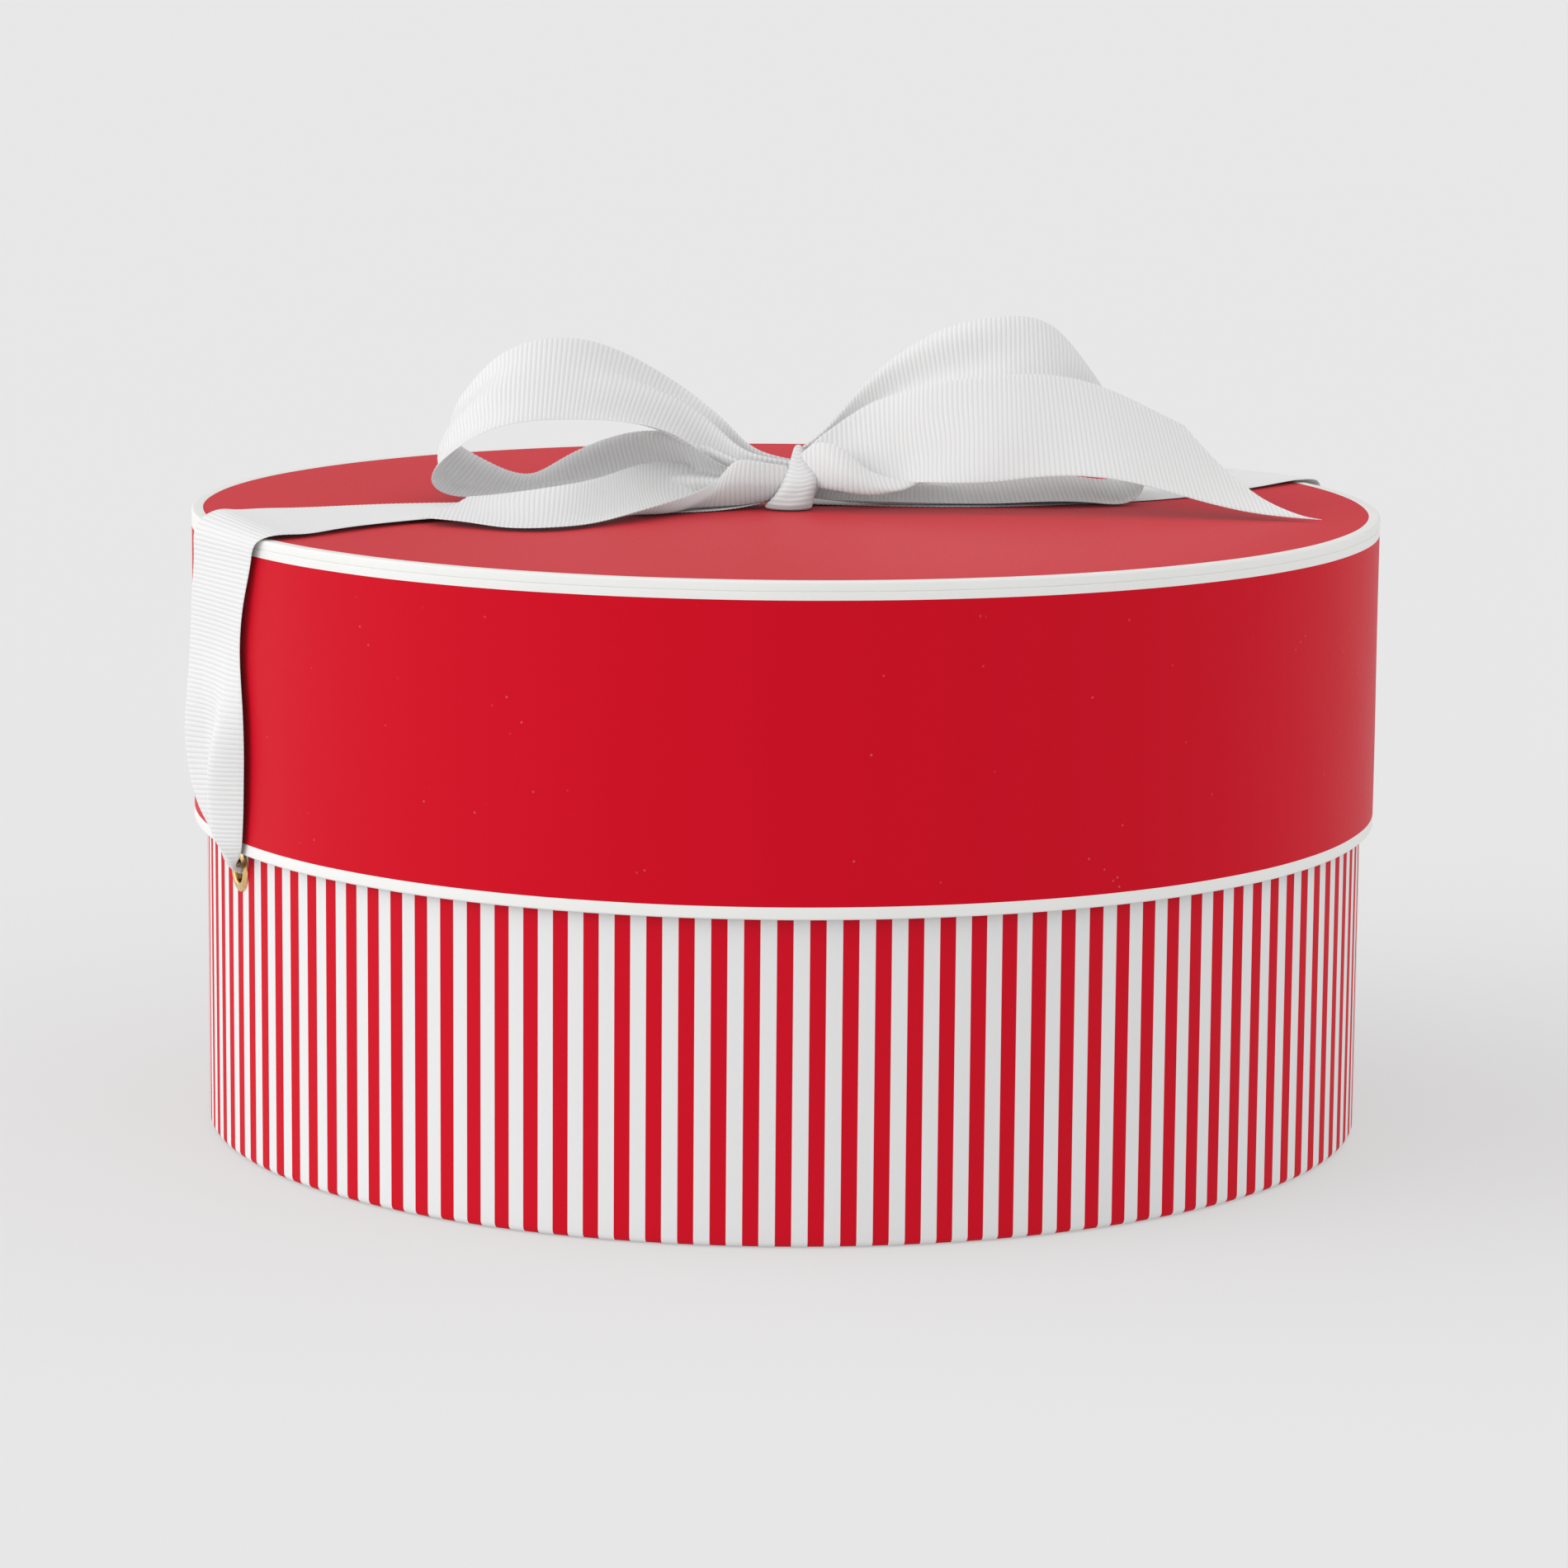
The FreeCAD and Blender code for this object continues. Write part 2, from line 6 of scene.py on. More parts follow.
import bmesh
import bpy
import numpy as np
from mathutils import Matrix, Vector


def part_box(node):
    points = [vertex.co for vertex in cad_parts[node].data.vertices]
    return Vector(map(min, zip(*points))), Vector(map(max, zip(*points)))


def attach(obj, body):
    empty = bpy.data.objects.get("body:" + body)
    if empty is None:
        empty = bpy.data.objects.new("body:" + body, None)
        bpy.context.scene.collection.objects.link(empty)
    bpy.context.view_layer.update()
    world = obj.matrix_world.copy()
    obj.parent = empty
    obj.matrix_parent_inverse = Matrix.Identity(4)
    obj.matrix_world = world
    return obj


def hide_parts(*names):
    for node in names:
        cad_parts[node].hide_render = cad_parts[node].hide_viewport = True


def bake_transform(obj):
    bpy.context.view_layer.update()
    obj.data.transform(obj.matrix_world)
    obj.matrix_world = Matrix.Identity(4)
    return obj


bl_info = {
    "name": "Hat Box",
    "version": (1, 0, 0),
    "blender": (4, 5, 0),
    "location": "3D View > Sidebar > Hat Box",
    "description": "Builds a ribbon-tied round hat box around its CAD frame",
    "category": "Add Mesh",
}

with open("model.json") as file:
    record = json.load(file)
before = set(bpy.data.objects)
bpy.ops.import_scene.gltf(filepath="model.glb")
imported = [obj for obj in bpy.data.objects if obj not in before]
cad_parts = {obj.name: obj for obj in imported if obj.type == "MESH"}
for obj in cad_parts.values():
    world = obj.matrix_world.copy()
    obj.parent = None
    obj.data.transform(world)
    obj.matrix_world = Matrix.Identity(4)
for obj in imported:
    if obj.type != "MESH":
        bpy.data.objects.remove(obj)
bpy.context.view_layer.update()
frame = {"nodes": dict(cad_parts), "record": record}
MM = 0.001
RIBBON_WIDTH = 2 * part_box("ribbon_top_left")[1].y
WELD_DISTANCE = 1e-7
CORNER = math.radians(35)
RIBBON_CORNER = math.radians(75)

# The ribbon's grid: rows to each rib, columns across, and points along its guide curves.
ROWS_PER_RIB = 6
RIBBON_COLUMNS = 31
GUIDE_POINTS = 1600
# How far along the ribbon the depth of its folds is evened out, and the width of its round edge.
FOLD_EVENING = 12 * MM
SELVAGE = 0.35 * MM
WARP_PITCH = 0.32 * MM

# The ribbon's shapes are stations along its length: the near edge, then the far edge, in
# millimetres. The bow's are in its own frame, with X to the right loop, Y to the back and Z up from
# the lid's face. The strands' are in the box's frame for the left strand, and turned half round for
# the right one.
LOOP_LEFT = (
    ((2, -9, 9), (2, -3, 14)),
    ((-9, -9, 10), (-9, -2, 17)),
    ((-20, -6, 13), (-17, 6, 23)),
    ((-32, -9, 21), (-28, 18, 31)),
    ((-48, -14, 26), (-44, 19, 41)),
    ((-64, -17, 27), (-62, 15, 48)),
    ((-77, -19, 26.5), (-77, 13, 47.5)),
    ((-89, -19, 23.5), (-89, 14, 41.5)),
    ((-98, -17, 18), (-97.5, 18, 32)),
    ((-104, -14, 12.5), (-102, 22, 23.5)),
    ((-106, -10, 7.5), (-101, 26, 16)),
    ((-103, -6, 3.6), (-95, 29.5, 11)),
    ((-96, -3, 1.9), (-87, 32, 6.5)),
    ((-84, 0, 1.6), (-77, 34, 3.4)),
    ((-68, 0, 1.6), (-67, 31, 9)),
    ((-52, -2, 2.2), (-52, 23, 17.5)),
    ((-38, -4, 3.2), (-38, 13, 20.5)),
    ((-24, -6, 4), (-26, 3, 18.5)),
    ((-10, -8, 4), (-12, -3, 13)),
    ((1, -9, 4), (0, -5, 10)),
)
TAIL_LEFT = (
    ((0, -11, 13), (0, -13, 8), (0, -10, 4), (0, -7, 6), (0, -4, 11)),
    ((-8, -14, 14.5), (-8, -16.5, 8), (-8, -12.5, 2.4), (-8, -6, 3.4), (-8, 0, 9.5)),
    ((-15.5, -16, 14.5), (-17, -20, 8), (-17, -16, 1.7), (-17, -7, 2.6), (-17, 2, 8.5)),
    ((-20.5, -20, 9.8), (-24, -24, 4.6), (-26, -19, 1.3), (-26, -8, 3.4), (-26, 3, 10.5)),
    ((-29, -30, 6.2), (-32, -30, 1.6), (-34, -21, 1.4), (-36, -10, 5), (-36, 1, 12.5)),
    ((-43, -47, 3.4), (-44, -39, 1.4), (-45, -29, 2.2), (-46, -19, 6), (-47, -10, 12)),
    ((-56, -61, 1.4), (-56, -52, 1.2), (-56, -43, 2.6), (-56, -34, 6), (-56, -26, 10.5)),
    ((-67, -71, 1.3), (-67, -62, 1.6), (-67, -53, 3.6), (-67, -44, 6.3), (-67, -35.5, 9.2)),
    ((-80, -72, 1.2), (-80, -62.5, 2.2), (-80.5, -53, 3.8), (-81, -44, 5.6), (-81, -34.5, 7)),
    ((-92, -65, 1.8), (-92, -27, 5)),
    ((-106, -58, 2.2), (-104, -21, 3.6)),
)
TAIL_RIGHT = (
    ((3, -7, 15), (3, -8, 11), (4, -8, 8), (4, -5, 10), (4, -2, 15)),
    ((9.5, -11, 20), (9.5, -14.5, 13.5), (9.5, -13.5, 7), (9, -7, 12), (9, -2, 20)),
    ((16.5, -14, 18.5), (16, -19.5, 12), (16, -17.5, 6.4), (16, -8, 13.6), (15.5, 2, 24.5)),
    ((24.5, -17.5, 12.7), (26, -22, 8), (27, -19, 6.4), (26, -7, 17), (25, 7, 30)),
    ((34, -20, 10), (35, -21.5, 7.4), (35, -14.5, 11), (34, -5, 20.6), (34, 6.5, 33.4)),
    ((43, -22, 9.6), (43, -17, 12), (43, -10, 18.4), (42, -3, 26.4), (42, 5, 36)),
    ((61, -22, 9.8), (61, -17, 16.6), (61, -11, 23.5), (61, -4, 31), (61, 3, 39)),
    ((79, -22, 11.7), (77, 4, 39.5)),
    ((98, -24, 11), (94, 6, 36)),
    ((117, -27, 6.8), (112, 5, 28)),
    ((137, -30, 2.4), (131, 4, 19)),
    ((158, -33, 0.7), (151, 2, 9)),
)
LOOP_RIGHT = (
    ((1, -4, 9), (2, 2, 15)),
    ((10, -1, 12), (10, 7, 21)),
    ((20, 3, 18), (20, 19, 31)),
    ((32, 6, 24), (31, 28, 41)),
    ((48, 5, 28), (47, 31, 50.5)),
    ((66, 4, 29.5), (66, 32, 54.6)),
    ((81, 5, 26), (80, 34, 52)),
    ((93, 7, 19), (91, 36, 40)),
    ((102, 8, 11.5), (100, 40, 26)),
    ((107.5, 8, 5.5), (106, 44, 13)),
    ((105, 5, 2), (104, 43, 6.4)),
    ((92, 1, 1.3), (91, 40, 4.6)),
    ((64, -2, 1.2), (63, 36, 4.6)),
    ((38, -3, 1.4), (37, 31, 5.4)),
    ((22, -5, 2), (22, 14, 8)),
    ((9, -8, 3), (9, -2, 11)),
    ((-1, -8, 4), (-1, -4, 10)),
)
KNOT_TURN = (
    ((0, 8, 4), (2, 9, 4), (4, 10, 4), (6, 9, 4), (8, 8, 4)),
    ((1, 5, 12), (2.5, 7, 13), (4, 7.5, 13.5), (5.5, 7, 13), (7, 5, 12)),
    ((1.8, -1, 14), (2.4, -1.4, 17.2), (3.5, -1.6, 18), (4.6, -1.4, 17.2), (5.4, -1, 14)),
    ((0.8, -6, 11), (1.2, -10.4, 13.4), (3.6, -12.4, 12.8), (6, -10.6, 13.4), (6.8, -6, 11)),
    ((-0.8, -8, 6), (-0.6, -15.2, 8.6), (4.4, -17, 8.4), (8.6, -15, 9.2), (9.2, -8, 6)),
    ((-3.4, -9, 3), (-2.8, -17, 4.6), (2.6, -18, 4.4), (7.4, -16.6, 5.2), (8.2, -9, 3.5)),
    ((-5.4, -9, 1.4), (-5, -15.6, 1.7), (1, -18, 1.5), (6.8, -15.6, 1.9), (7.6, -9, 1.6)),
    ((-4, -4, 0.8), (-3, -8, 0.7), (2, -9, 0.7), (6, -8, 0.7), (7, -4, 0.8)),
)
STRAND = (
    ((-168, 2.4, 87.6), (-168, 1.2, 85.6), (-168, 0, 87.6), (-168, -1.2, 85.6), (-168, -2.4, 87.6)),
    ((-173.5, 2.4, 87.6), (-173.5, 1.2, 85.6), (-173.5, 0, 87.6), (-173.5, -1.2, 85.6),
     (-173.5, -2.4, 87.6)),
    ((-177, 1.8, 88.6), (-176.2, 0.6, 87), (-177.4, -1, 88.4), (-176.6, -2.4, 86.8),
     (-176.6, -3.8, 88.4)),
    ((-180, -0.6, 92), (-178.9, -3, 92), (-180.6, -6.4, 92), (-181, -9, 92), (-178.6, -12, 92.6)),
    ((-181.4, 4.8, 98), (-179.4, 2, 97.4), (-179.8, -2.6, 97.4), (-184.6, -7.6, 97.4),
     (-178.8, -14.8, 98)),
    ((-182.4, 11.5, 103.4), (-179.4, 7, 103.4), (-179.6, 0, 103.4), (-186, -6.6, 103.4),
     (-178.9, -16, 104)),
    ((-183.2, 17.6, 112), (-179.2, 11, 112.6), (-179.3, 1.6, 113), (-186.8, -7.6, 113),
     (-179, -17, 113.6)),
    ((-183.6, 20.8, 125), (-179.4, 13, 125), (-179.4, 3, 125), (-186.2, -9.4, 124.5),
     (-179, -17.4, 124.5)),
    ((-182.7, 21, 138), (-180.7, 12.6, 138), (-180.6, 2.4, 138), (-182.4, -9, 138),
     (-179.1, -16.6, 138)),
    ((-182.2, 19.4, 152), (-180.8, 10.8, 152), (-180, 2, 152), (-179.8, -7.6, 152),
     (-179.3, -15.4, 152)),
    ((-182.5, 16.2, 168), (-179, -18.4, 168)),
    ((-182.8, 13.6, 180), (-178.2, -22.4, 180)),
    ((-181.9, 12.8, 187), (-177.4, -25.2, 185.4)),
    ((-178, 13, 189.8), (-174.2, -26.8, 187.2)),
    ((-171, 14.8, 190.2), (-164, -24.4, 187.2)),
    ((-162.5, 18.6, 189.6), (-152, -18, 187.2)),
    ((-148, 24.6, 188.6), (-137, -10, 187.2)),
    ((-116, 34, 187.3), (-108, -1.6, 187.1)),
    ((-80, 33, 186.6), (-76, -5, 186.9)),
    ((-45, 25, 186.6), (-43, -9, 186.5)),
    ((-18, 10, 187), (-18, -8, 187)),
    ((-4, 5, 189), (-4, -6, 189)),
)

# How far the right strand wanders from the line of the left one, where it starts to, and how
# flat it lies on the lid next to the left one.
WANDER = math.radians(3)
WANDER_HEIGHTS = (110 * MM, 180 * MM)
WANDER_REACHES = (10 * MM, 170 * MM)
RIGHT_LIFT = 0.25
LEAST_LIFT = 0.2 * MM

# The eyelets: the radius of the hole, the barrel's wall, and the play round the barrel.
EYELET_HOLE = 3.5 * MM
BARREL_WALL = 1.7 * MM
BORE_PLAY = 3.4 * MM

# What the red paper looks like to bounced light, so that it stains the white ribbon only a little.
STAIN = (0.52, 0.40, 0.40, 1.0)

# The floor is a light table: this share of its brightness is its own.
GLOW = 0.45
FLOOR_HALF = 40.0
# The room's light: from everywhere, from above, from the window side and from the side facing it.
ROOM_LIGHT = 0.20
TOP_LIGHT = 0.50
WINDOW_LIGHT = 1.5
OPPOSITE_LIGHT = 0.65
# Soft suns: name, strength, angle across, tilt from straight down, and turn from the camera.
LAMPS = (
    ("window", 0.62, 50, 74, -66),
    ("fill", 0.42, 90, 66, -4),
)
# The camera, facing the bow: distance back, height, tilt down, roll and lens.
CAMERA_BACK = 1.681
CAMERA_HEIGHT = 0.383
CAMERA_TILT = 0.1663
CAMERA_ROLL = 0.0081
CAMERA_LENS = 129.04
CAMERA_SENSOR = 36.0


class HatBoxSizes(bpy.types.PropertyGroup):
    """Sizes that the frame does not hold."""

    segments: bpy.props.IntProperty(
        name="Segments", description="Steps round the box", default=480, min=48)
    stripes: bpy.props.IntProperty(
        name="Stripes", description="Red stripes round the base", default=121, min=4)
    stripe_offset: bpy.props.FloatProperty(
        name="Stripe offset", description="How far round the first red stripe starts",
        default=math.radians(-0.22), subtype="ANGLE")
    edge_round: bpy.props.FloatProperty(
        name="Edge rounding", description="Rounding of the lid's papered edge",
        default=0.7 * MM, unit="LENGTH")
    foot_round: bpy.props.FloatProperty(
        name="Foot rounding", description="Rounding where the wrap turns under the base",
        default=2.0 * MM, unit="LENGTH")
    turn_under: bpy.props.FloatProperty(
        name="Turn-under", description="How far the wrap goes in under the base",
        default=14.0 * MM, unit="LENGTH")
    ripple: bpy.props.FloatProperty(
        name="Ripple", description="How far the papered board wanders from round",
        default=0.16 * MM, unit="LENGTH")
    rib_pitch: bpy.props.FloatProperty(
        name="Rib pitch", description="Distance between the ribbon's ribs",
        default=1.45 * MM, unit="LENGTH")
    rib_height: bpy.props.FloatProperty(
        name="Rib height", description="How far a rib stands above the ribbon's body",
        default=0.15 * MM, unit="LENGTH")
    ribbon_body: bpy.props.FloatProperty(
        name="Ribbon thickness", description="Thickness between two ribs",
        default=0.24 * MM, unit="LENGTH")
    bow_turn: bpy.props.FloatProperty(
        name="Bow turn", description="Turn of the bow from the strands' line",
        default=math.radians(-25), subtype="ANGLE")


class HatBoxColours(bpy.types.PropertyGroup):
    """Linear colours of the finishes."""

    red: bpy.props.FloatVectorProperty(
        name="Red", description="Lid paper and stripes", subtype="COLOR", size=3,
        default=(0.60, 0.002, 0.015))
    white_stripe: bpy.props.FloatVectorProperty(
        name="White stripe", description="Ground of the striped paper", subtype="COLOR", size=3,
        default=(0.78, 0.78, 0.78))
    binding: bpy.props.FloatVectorProperty(
        name="Binding", description="White binding tape", subtype="COLOR", size=3,
        default=(0.82, 0.82, 0.80))
    ribbon: bpy.props.FloatVectorProperty(
        name="Ribbon", description="Grosgrain", subtype="COLOR", size=3, default=(0.80, 0.80, 0.80))
    greyboard: bpy.props.FloatVectorProperty(
        name="Greyboard", description="Bare board", subtype="COLOR", size=3, default=(0.36, 0.32, 0.27))
    lining: bpy.props.FloatVectorProperty(
        name="Lining", description="Lining paper", subtype="COLOR", size=3, default=(0.80, 0.79, 0.76))
    kraft: bpy.props.FloatVectorProperty(
        name="Gummed tape", description="Brown paper tape", subtype="COLOR", size=3,
        default=(0.40, 0.25, 0.13))
    brass: bpy.props.FloatVectorProperty(
        name="Brass", description="Eyelets and washers", subtype="COLOR", size=3,
        default=(0.86, 0.56, 0.24))
    floor: bpy.props.FloatVectorProperty(
        name="Floor", description="Studio floor", subtype="COLOR", size=3, default=(0.80, 0.80, 0.80))


def sizes():
    """The sizes set in the panel."""
    return bpy.context.scene.hat_box_sizes


def colours():
    """The colours set in the panel."""
    return bpy.context.scene.hat_box_colours


# ---- Meshes --------------------------------------------------------------------------------

def mesh_object(name, points, faces, material, sharp=CORNER):
    """A piece from an array of points and an array of faces, smooth except at sharp corners."""
    mesh = bpy.data.meshes.new(name)
    mesh.from_pydata(points.reshape(-1, 3), [], faces)
    mesh.validate()
    mesh.shade_smooth()
    mesh.set_sharp_from_angle(angle=sharp)
    mesh.materials.append(material)
    piece = bpy.data.objects.new(name, mesh)
    bpy.context.scene.collection.objects.link(piece)
    return piece


def weld(piece):
    """Joins a mesh's points that lie in one place."""
    editing = bmesh.new()
    editing.from_mesh(piece.data)
    bmesh.ops.remove_doubles(editing, verts=editing.verts, dist=WELD_DISTANCE)
    editing.to_mesh(piece.data)
    editing.free()


def rounded_outline(corners, step=2.0 * MM, arc_steps=6):
    """A closed outline through (radius, height, rounding) corners, in even steps.

    A corner with a rounding is an arc that touches both its sides: it starts and ends at
    rounding / tan(half the corner's angle) from the corner, and its points lie at the rounding's
    distance from the arc's centre, which is on the corner's bisector.
    """
    points = []
    for i, (radius, height, rounding) in enumerate(corners):
        corner = np.array((radius, height))
        before = np.array(corners[i - 1][:2]) - corner
        after = np.array(corners[(i + 1) % len(corners)][:2]) - corner
        if rounding == 0:
            points.append(corner[None])
            continue
        before /= np.linalg.norm(before)
        after /= np.linalg.norm(after)
        half = math.acos(np.clip(before @ after, -1, 1)) / 2
        bisector = (before + after) / np.linalg.norm(before + after)
        centre = corner + bisector * rounding / math.sin(half)
        start = corner + before * rounding / math.tan(half) - centre
        end = corner + after * rounding / math.tan(half) - centre
        sweep = math.atan2(start[0] * end[1] - start[1] * end[0], start @ end)
        turn = np.linspace(0, sweep, arc_steps + 1)
        points.append(centre + np.stack((start[0] * np.cos(turn) - start[1] * np.sin(turn),
                                         start[0] * np.sin(turn) + start[1] * np.cos(turn)), 1))
    points = np.concatenate(points)
    following = np.roll(points, -1, axis=0)
    counts = np.maximum(1, np.round(np.linalg.norm(following - points, axis=1) / step)).astype(int)
    return np.concatenate([p + (q - p) * (np.arange(n) / n)[:, None]
                           for p, q, n in zip(points, following, counts)])


def ripple(angle, height):
    """How far papered board wanders in from round: a few long waves round and up the wall."""
    return sizes().ripple * (
        0.5 * np.sin(3 * angle + 0.7) + 0.35 * np.sin(7 * angle + 41 * height)
        + 0.3 * np.sin(13 * angle - 63 * height + 2.0) + 0.2 * np.sin(29 * angle + 90 * height)
        - 1.35)


def lathe(name, outline, material, wandering=False):
    """A closed outline of (radius, height) carried round Z, with its poles closed."""
    count = sizes().segments
    angle = np.linspace(0, 2 * np.pi, count, endpoint=False)[:, None]
    radius, height = outline[None, :, 0], outline[None, :, 1] + 0 * angle
    if wandering:
        radius = np.where(radius > 1e-9, radius + ripple(angle, height), radius)
    points = np.stack((radius * np.cos(angle), radius * np.sin(angle), height), -1)
    rings = len(outline)
    i, j = np.meshgrid(np.arange(count), np.arange(rings), indexing="ij")
    k, m = (i + 1) % count, (j + 1) % rings
    faces = np.stack((i * rings + j, k * rings + j, k * rings + m, i * rings + m), -1).reshape(-1, 4)
    on_axis = (outline[j, 0] < 1e-9) & (outline[m, 0] < 1e-9)
    piece = mesh_object(name, points, faces[~on_axis.ravel()], material)
    if (outline[:, 0] < 1e-9).any():
        weld(piece)
    return piece


def bored(piece, radius):
    """Cuts a round hole through the wall at each eyelet with a boolean, and keeps its result."""
    height = eyelet_height()
    reach = 50 * MM
    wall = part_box("base_stripe_wrap")[1].x
    for side in (-1, 1):
        bpy.ops.mesh.primitive_cylinder_add(
            vertices=48, radius=radius, depth=reach, location=(side * wall, 0, height),
            rotation=(0, math.pi / 2, 0))
        cutter = bpy.context.active_object
        cut = piece.modifiers.new("bore", "BOOLEAN")
        cut.object = cutter
        cut.operation = "DIFFERENCE"
        cut.solver = "EXACT"
        evaluated = piece.evaluated_get(bpy.context.evaluated_depsgraph_get())
        mesh = bpy.data.meshes.new_from_object(evaluated)
        piece.modifiers.clear()
        piece.data = mesh
        bpy.data.objects.remove(cutter)
    piece.data.name = piece.name
    piece.data.shade_smooth()
    piece.data.set_sharp_from_angle(angle=CORNER)
    return piece


def eyelet_height():
    """How high the middle of the eyelets is."""
    low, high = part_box("eyelet_right")
    return (low.z + high.z) / 2


def spline(stations, count):
    """A natural cubic spline through stations, parametrised by the distance between their middles.

    The second derivatives at the stations solve the usual tridiagonal system, with zero at both
    ends. Returns the distances and the points at evenly spaced distances.
    """
    flat = stations.reshape(len(stations), -1)
    middles = stations.mean(axis=1)
    gaps = np.linalg.norm(np.diff(middles, axis=0), axis=1)
    at = np.concatenate(((0,), np.cumsum(gaps)))
    system = np.diag(np.concatenate(((1,), 2 * (gaps[:-1] + gaps[1:]), (1,))))
    inner = np.arange(1, len(at) - 1)
    system[inner, inner - 1] = gaps[:-1]
    system[inner, inner + 1] = gaps[1:]
    slopes = np.diff(flat, axis=0) / gaps[:, None]
    right = np.zeros_like(flat)
    right[1:-1] = 6 * np.diff(slopes, axis=0)
    bend = np.linalg.solve(system, right)
    along = np.linspace(0, at[-1], count)
    k = np.clip(np.searchsorted(at, along, side="right") - 1, 0, len(gaps) - 1)
    gap = gaps[k][:, None]
    a = (at[k + 1] - along)[:, None] / gap
    b = 1 - a
    points = (a * flat[k] + b * flat[k + 1]
              + ((a ** 3 - a) * bend[k] + (b ** 3 - b) * bend[k + 1]) * gap ** 2 / 6)
    return along, points.reshape((count,) + stations.shape[1:])


def crowding(ratio):
    """The steepest slope of a sine fold whose length is ratio times its chord, by table."""
    slopes = np.linspace(0, 14, 400)
    phase = np.linspace(0, 2 * np.pi, 200, endpoint=False)
    ratios = np.sqrt(1 + (slopes[:, None] * np.cos(phase)) ** 2).mean(axis=1)
    return np.interp(ratio, ratios, slopes)


def smooth(value, low, high):
    """0 below low, 1 above high, and a smooth step between."""
    share = np.clip((value - low) / (high - low), 0, 1)
    return share * share * (3 - 2 * share)


def turned(points, angle):
    """Points turned about Z."""
    c, s = np.cos(angle), np.sin(angle)
    x, y = points[..., 0], points[..., 1]
    return np.stack((x * c - y * s, x * s + y * c, points[..., 2]), -1)


def guided(stations):
    """Stations with as many points across as the fullest: one with only its edges is straight."""
    most = max(len(station) for station in stations)
    share = np.linspace(0, 1, most)[:, None]
    return np.array([station if len(station) == most
                     else np.array(station[0]) * (1 - share) + np.array(station[1]) * share
                     for station in stations], dtype=float)


def across_weights(count, across):
    """How much each guide point gives each column: a natural cubic spline over even guides."""
    basis = np.eye(count)
    gaps = 1 / (count - 1)
    system = np.eye(count)
    inner = np.arange(1, count - 1)
    system[inner, inner] = 4
    system[inner, inner - 1] = 1
    system[inner, inner + 1] = 1
    right = np.zeros((count, count))
    right[1:-1] = 6 * (basis[2:] - 2 * basis[1:-1] + basis[:-2]) / gaps ** 2
    bend = np.linalg.solve(system, right)
    k = np.clip((across / gaps).astype(int), 0, count - 2)
    b = (across / gaps - k)[:, None]
    a = 1 - b
    return (a * basis[k] + b * basis[k + 1]
            + ((a ** 3 - a) * bend[k] + (b ** 3 - b) * bend[k + 1]) * gaps ** 2 / 6)


def folded_rows(points, middle, length_at, s, across, folds, deepest):
    """Rows between two edges, each a sine of so many folds across.

    Where the edges are nearer than the ribbon is wide, the sine is steep enough to keep the row's
    own length, but no deeper than the deepest fold. Its depth is evened out along the ribbon. It
    stands off along the cross product of the way along and the way across.
    """
    chord = points[:, :, 1] - points[:, :, 0]
    reach = np.linalg.norm(chord, axis=-1)
    tangent = np.gradient(middle, length_at, axis=0)
    tangent = np.stack([np.interp(s, length_at, tangent[:, c]) for c in range(3)], -1)
    lift = np.cross(tangent, chord)
    lift /= np.linalg.norm(lift, axis=-1, keepdims=True)
    steep = crowding(np.maximum(RIBBON_WIDTH / reach, 1.0))
    fold = np.minimum(steep * reach / (2 * np.pi * folds), deepest)
    window = np.hanning(2 * int(FOLD_EVENING / sizes().rib_pitch * ROWS_PER_RIB) + 3)
    window /= window.sum()
    margin = len(window) // 2
    padded = np.pad(fold, ((margin, margin), (0, 0)), mode="edge")
    fold = np.apply_along_axis(np.convolve, 0, padded, window, mode="valid")[:len(s)]
    fold = fold * np.sin(2 * np.pi * folds * across)
    return points[:, :, 0] + chord * across[None, :, None] + lift * fold[..., None]


def ribbon(name, stations, material, folds=0.5, cut_end=0.0, cut_curve=1.0, deepest=4 * MM,
           crisp=0.0):
    """A length of ribbed ribbon through stations of points across it, in metres.

    Stations of two points are joined by folded rows. Stations of more points are joined by a
    natural cubic spline across, blended by the crisp share with straight lines between the points.
    A cut end runs on further at one edge than at the other, by the cut's length.
    """
    _, guides = spline(stations, GUIDE_POINTS)
    middle = guides.mean(axis=1)
    run = np.linalg.norm(np.diff(middle, axis=0), axis=1)
    length_at = np.concatenate(((0,), np.cumsum(run)))
    length = length_at[-1]
    rows = int(length / sizes().rib_pitch * ROWS_PER_RIB)
    steps = np.linspace(0, 1, RIBBON_COLUMNS)
    across = 0.35 * (1 - np.cos(np.pi * steps)) / 2 + 0.65 * steps
    s = (length - cut_end * across ** cut_curve) * np.linspace(0, 1, rows)[:, None]
    points = np.stack([np.stack([np.interp(s, length_at, guides[:, g, c]) for c in range(3)], -1)
                       for g in range(guides.shape[1])], 2)
    if guides.shape[1] == 2:
        surface = folded_rows(points, middle, length_at, s, across, folds, deepest)
    else:
        even = np.linspace(0, 1, guides.shape[1])
        straight = np.clip(1 - np.abs(across[:, None] - even) / even[1], 0, 1)
        weights = across_weights(guides.shape[1], across) * (1 - crisp) + straight * crisp
        surface = np.einsum("cg,rcgx->rcx", weights, points)
    return thickened(name, surface, s, across, material), length


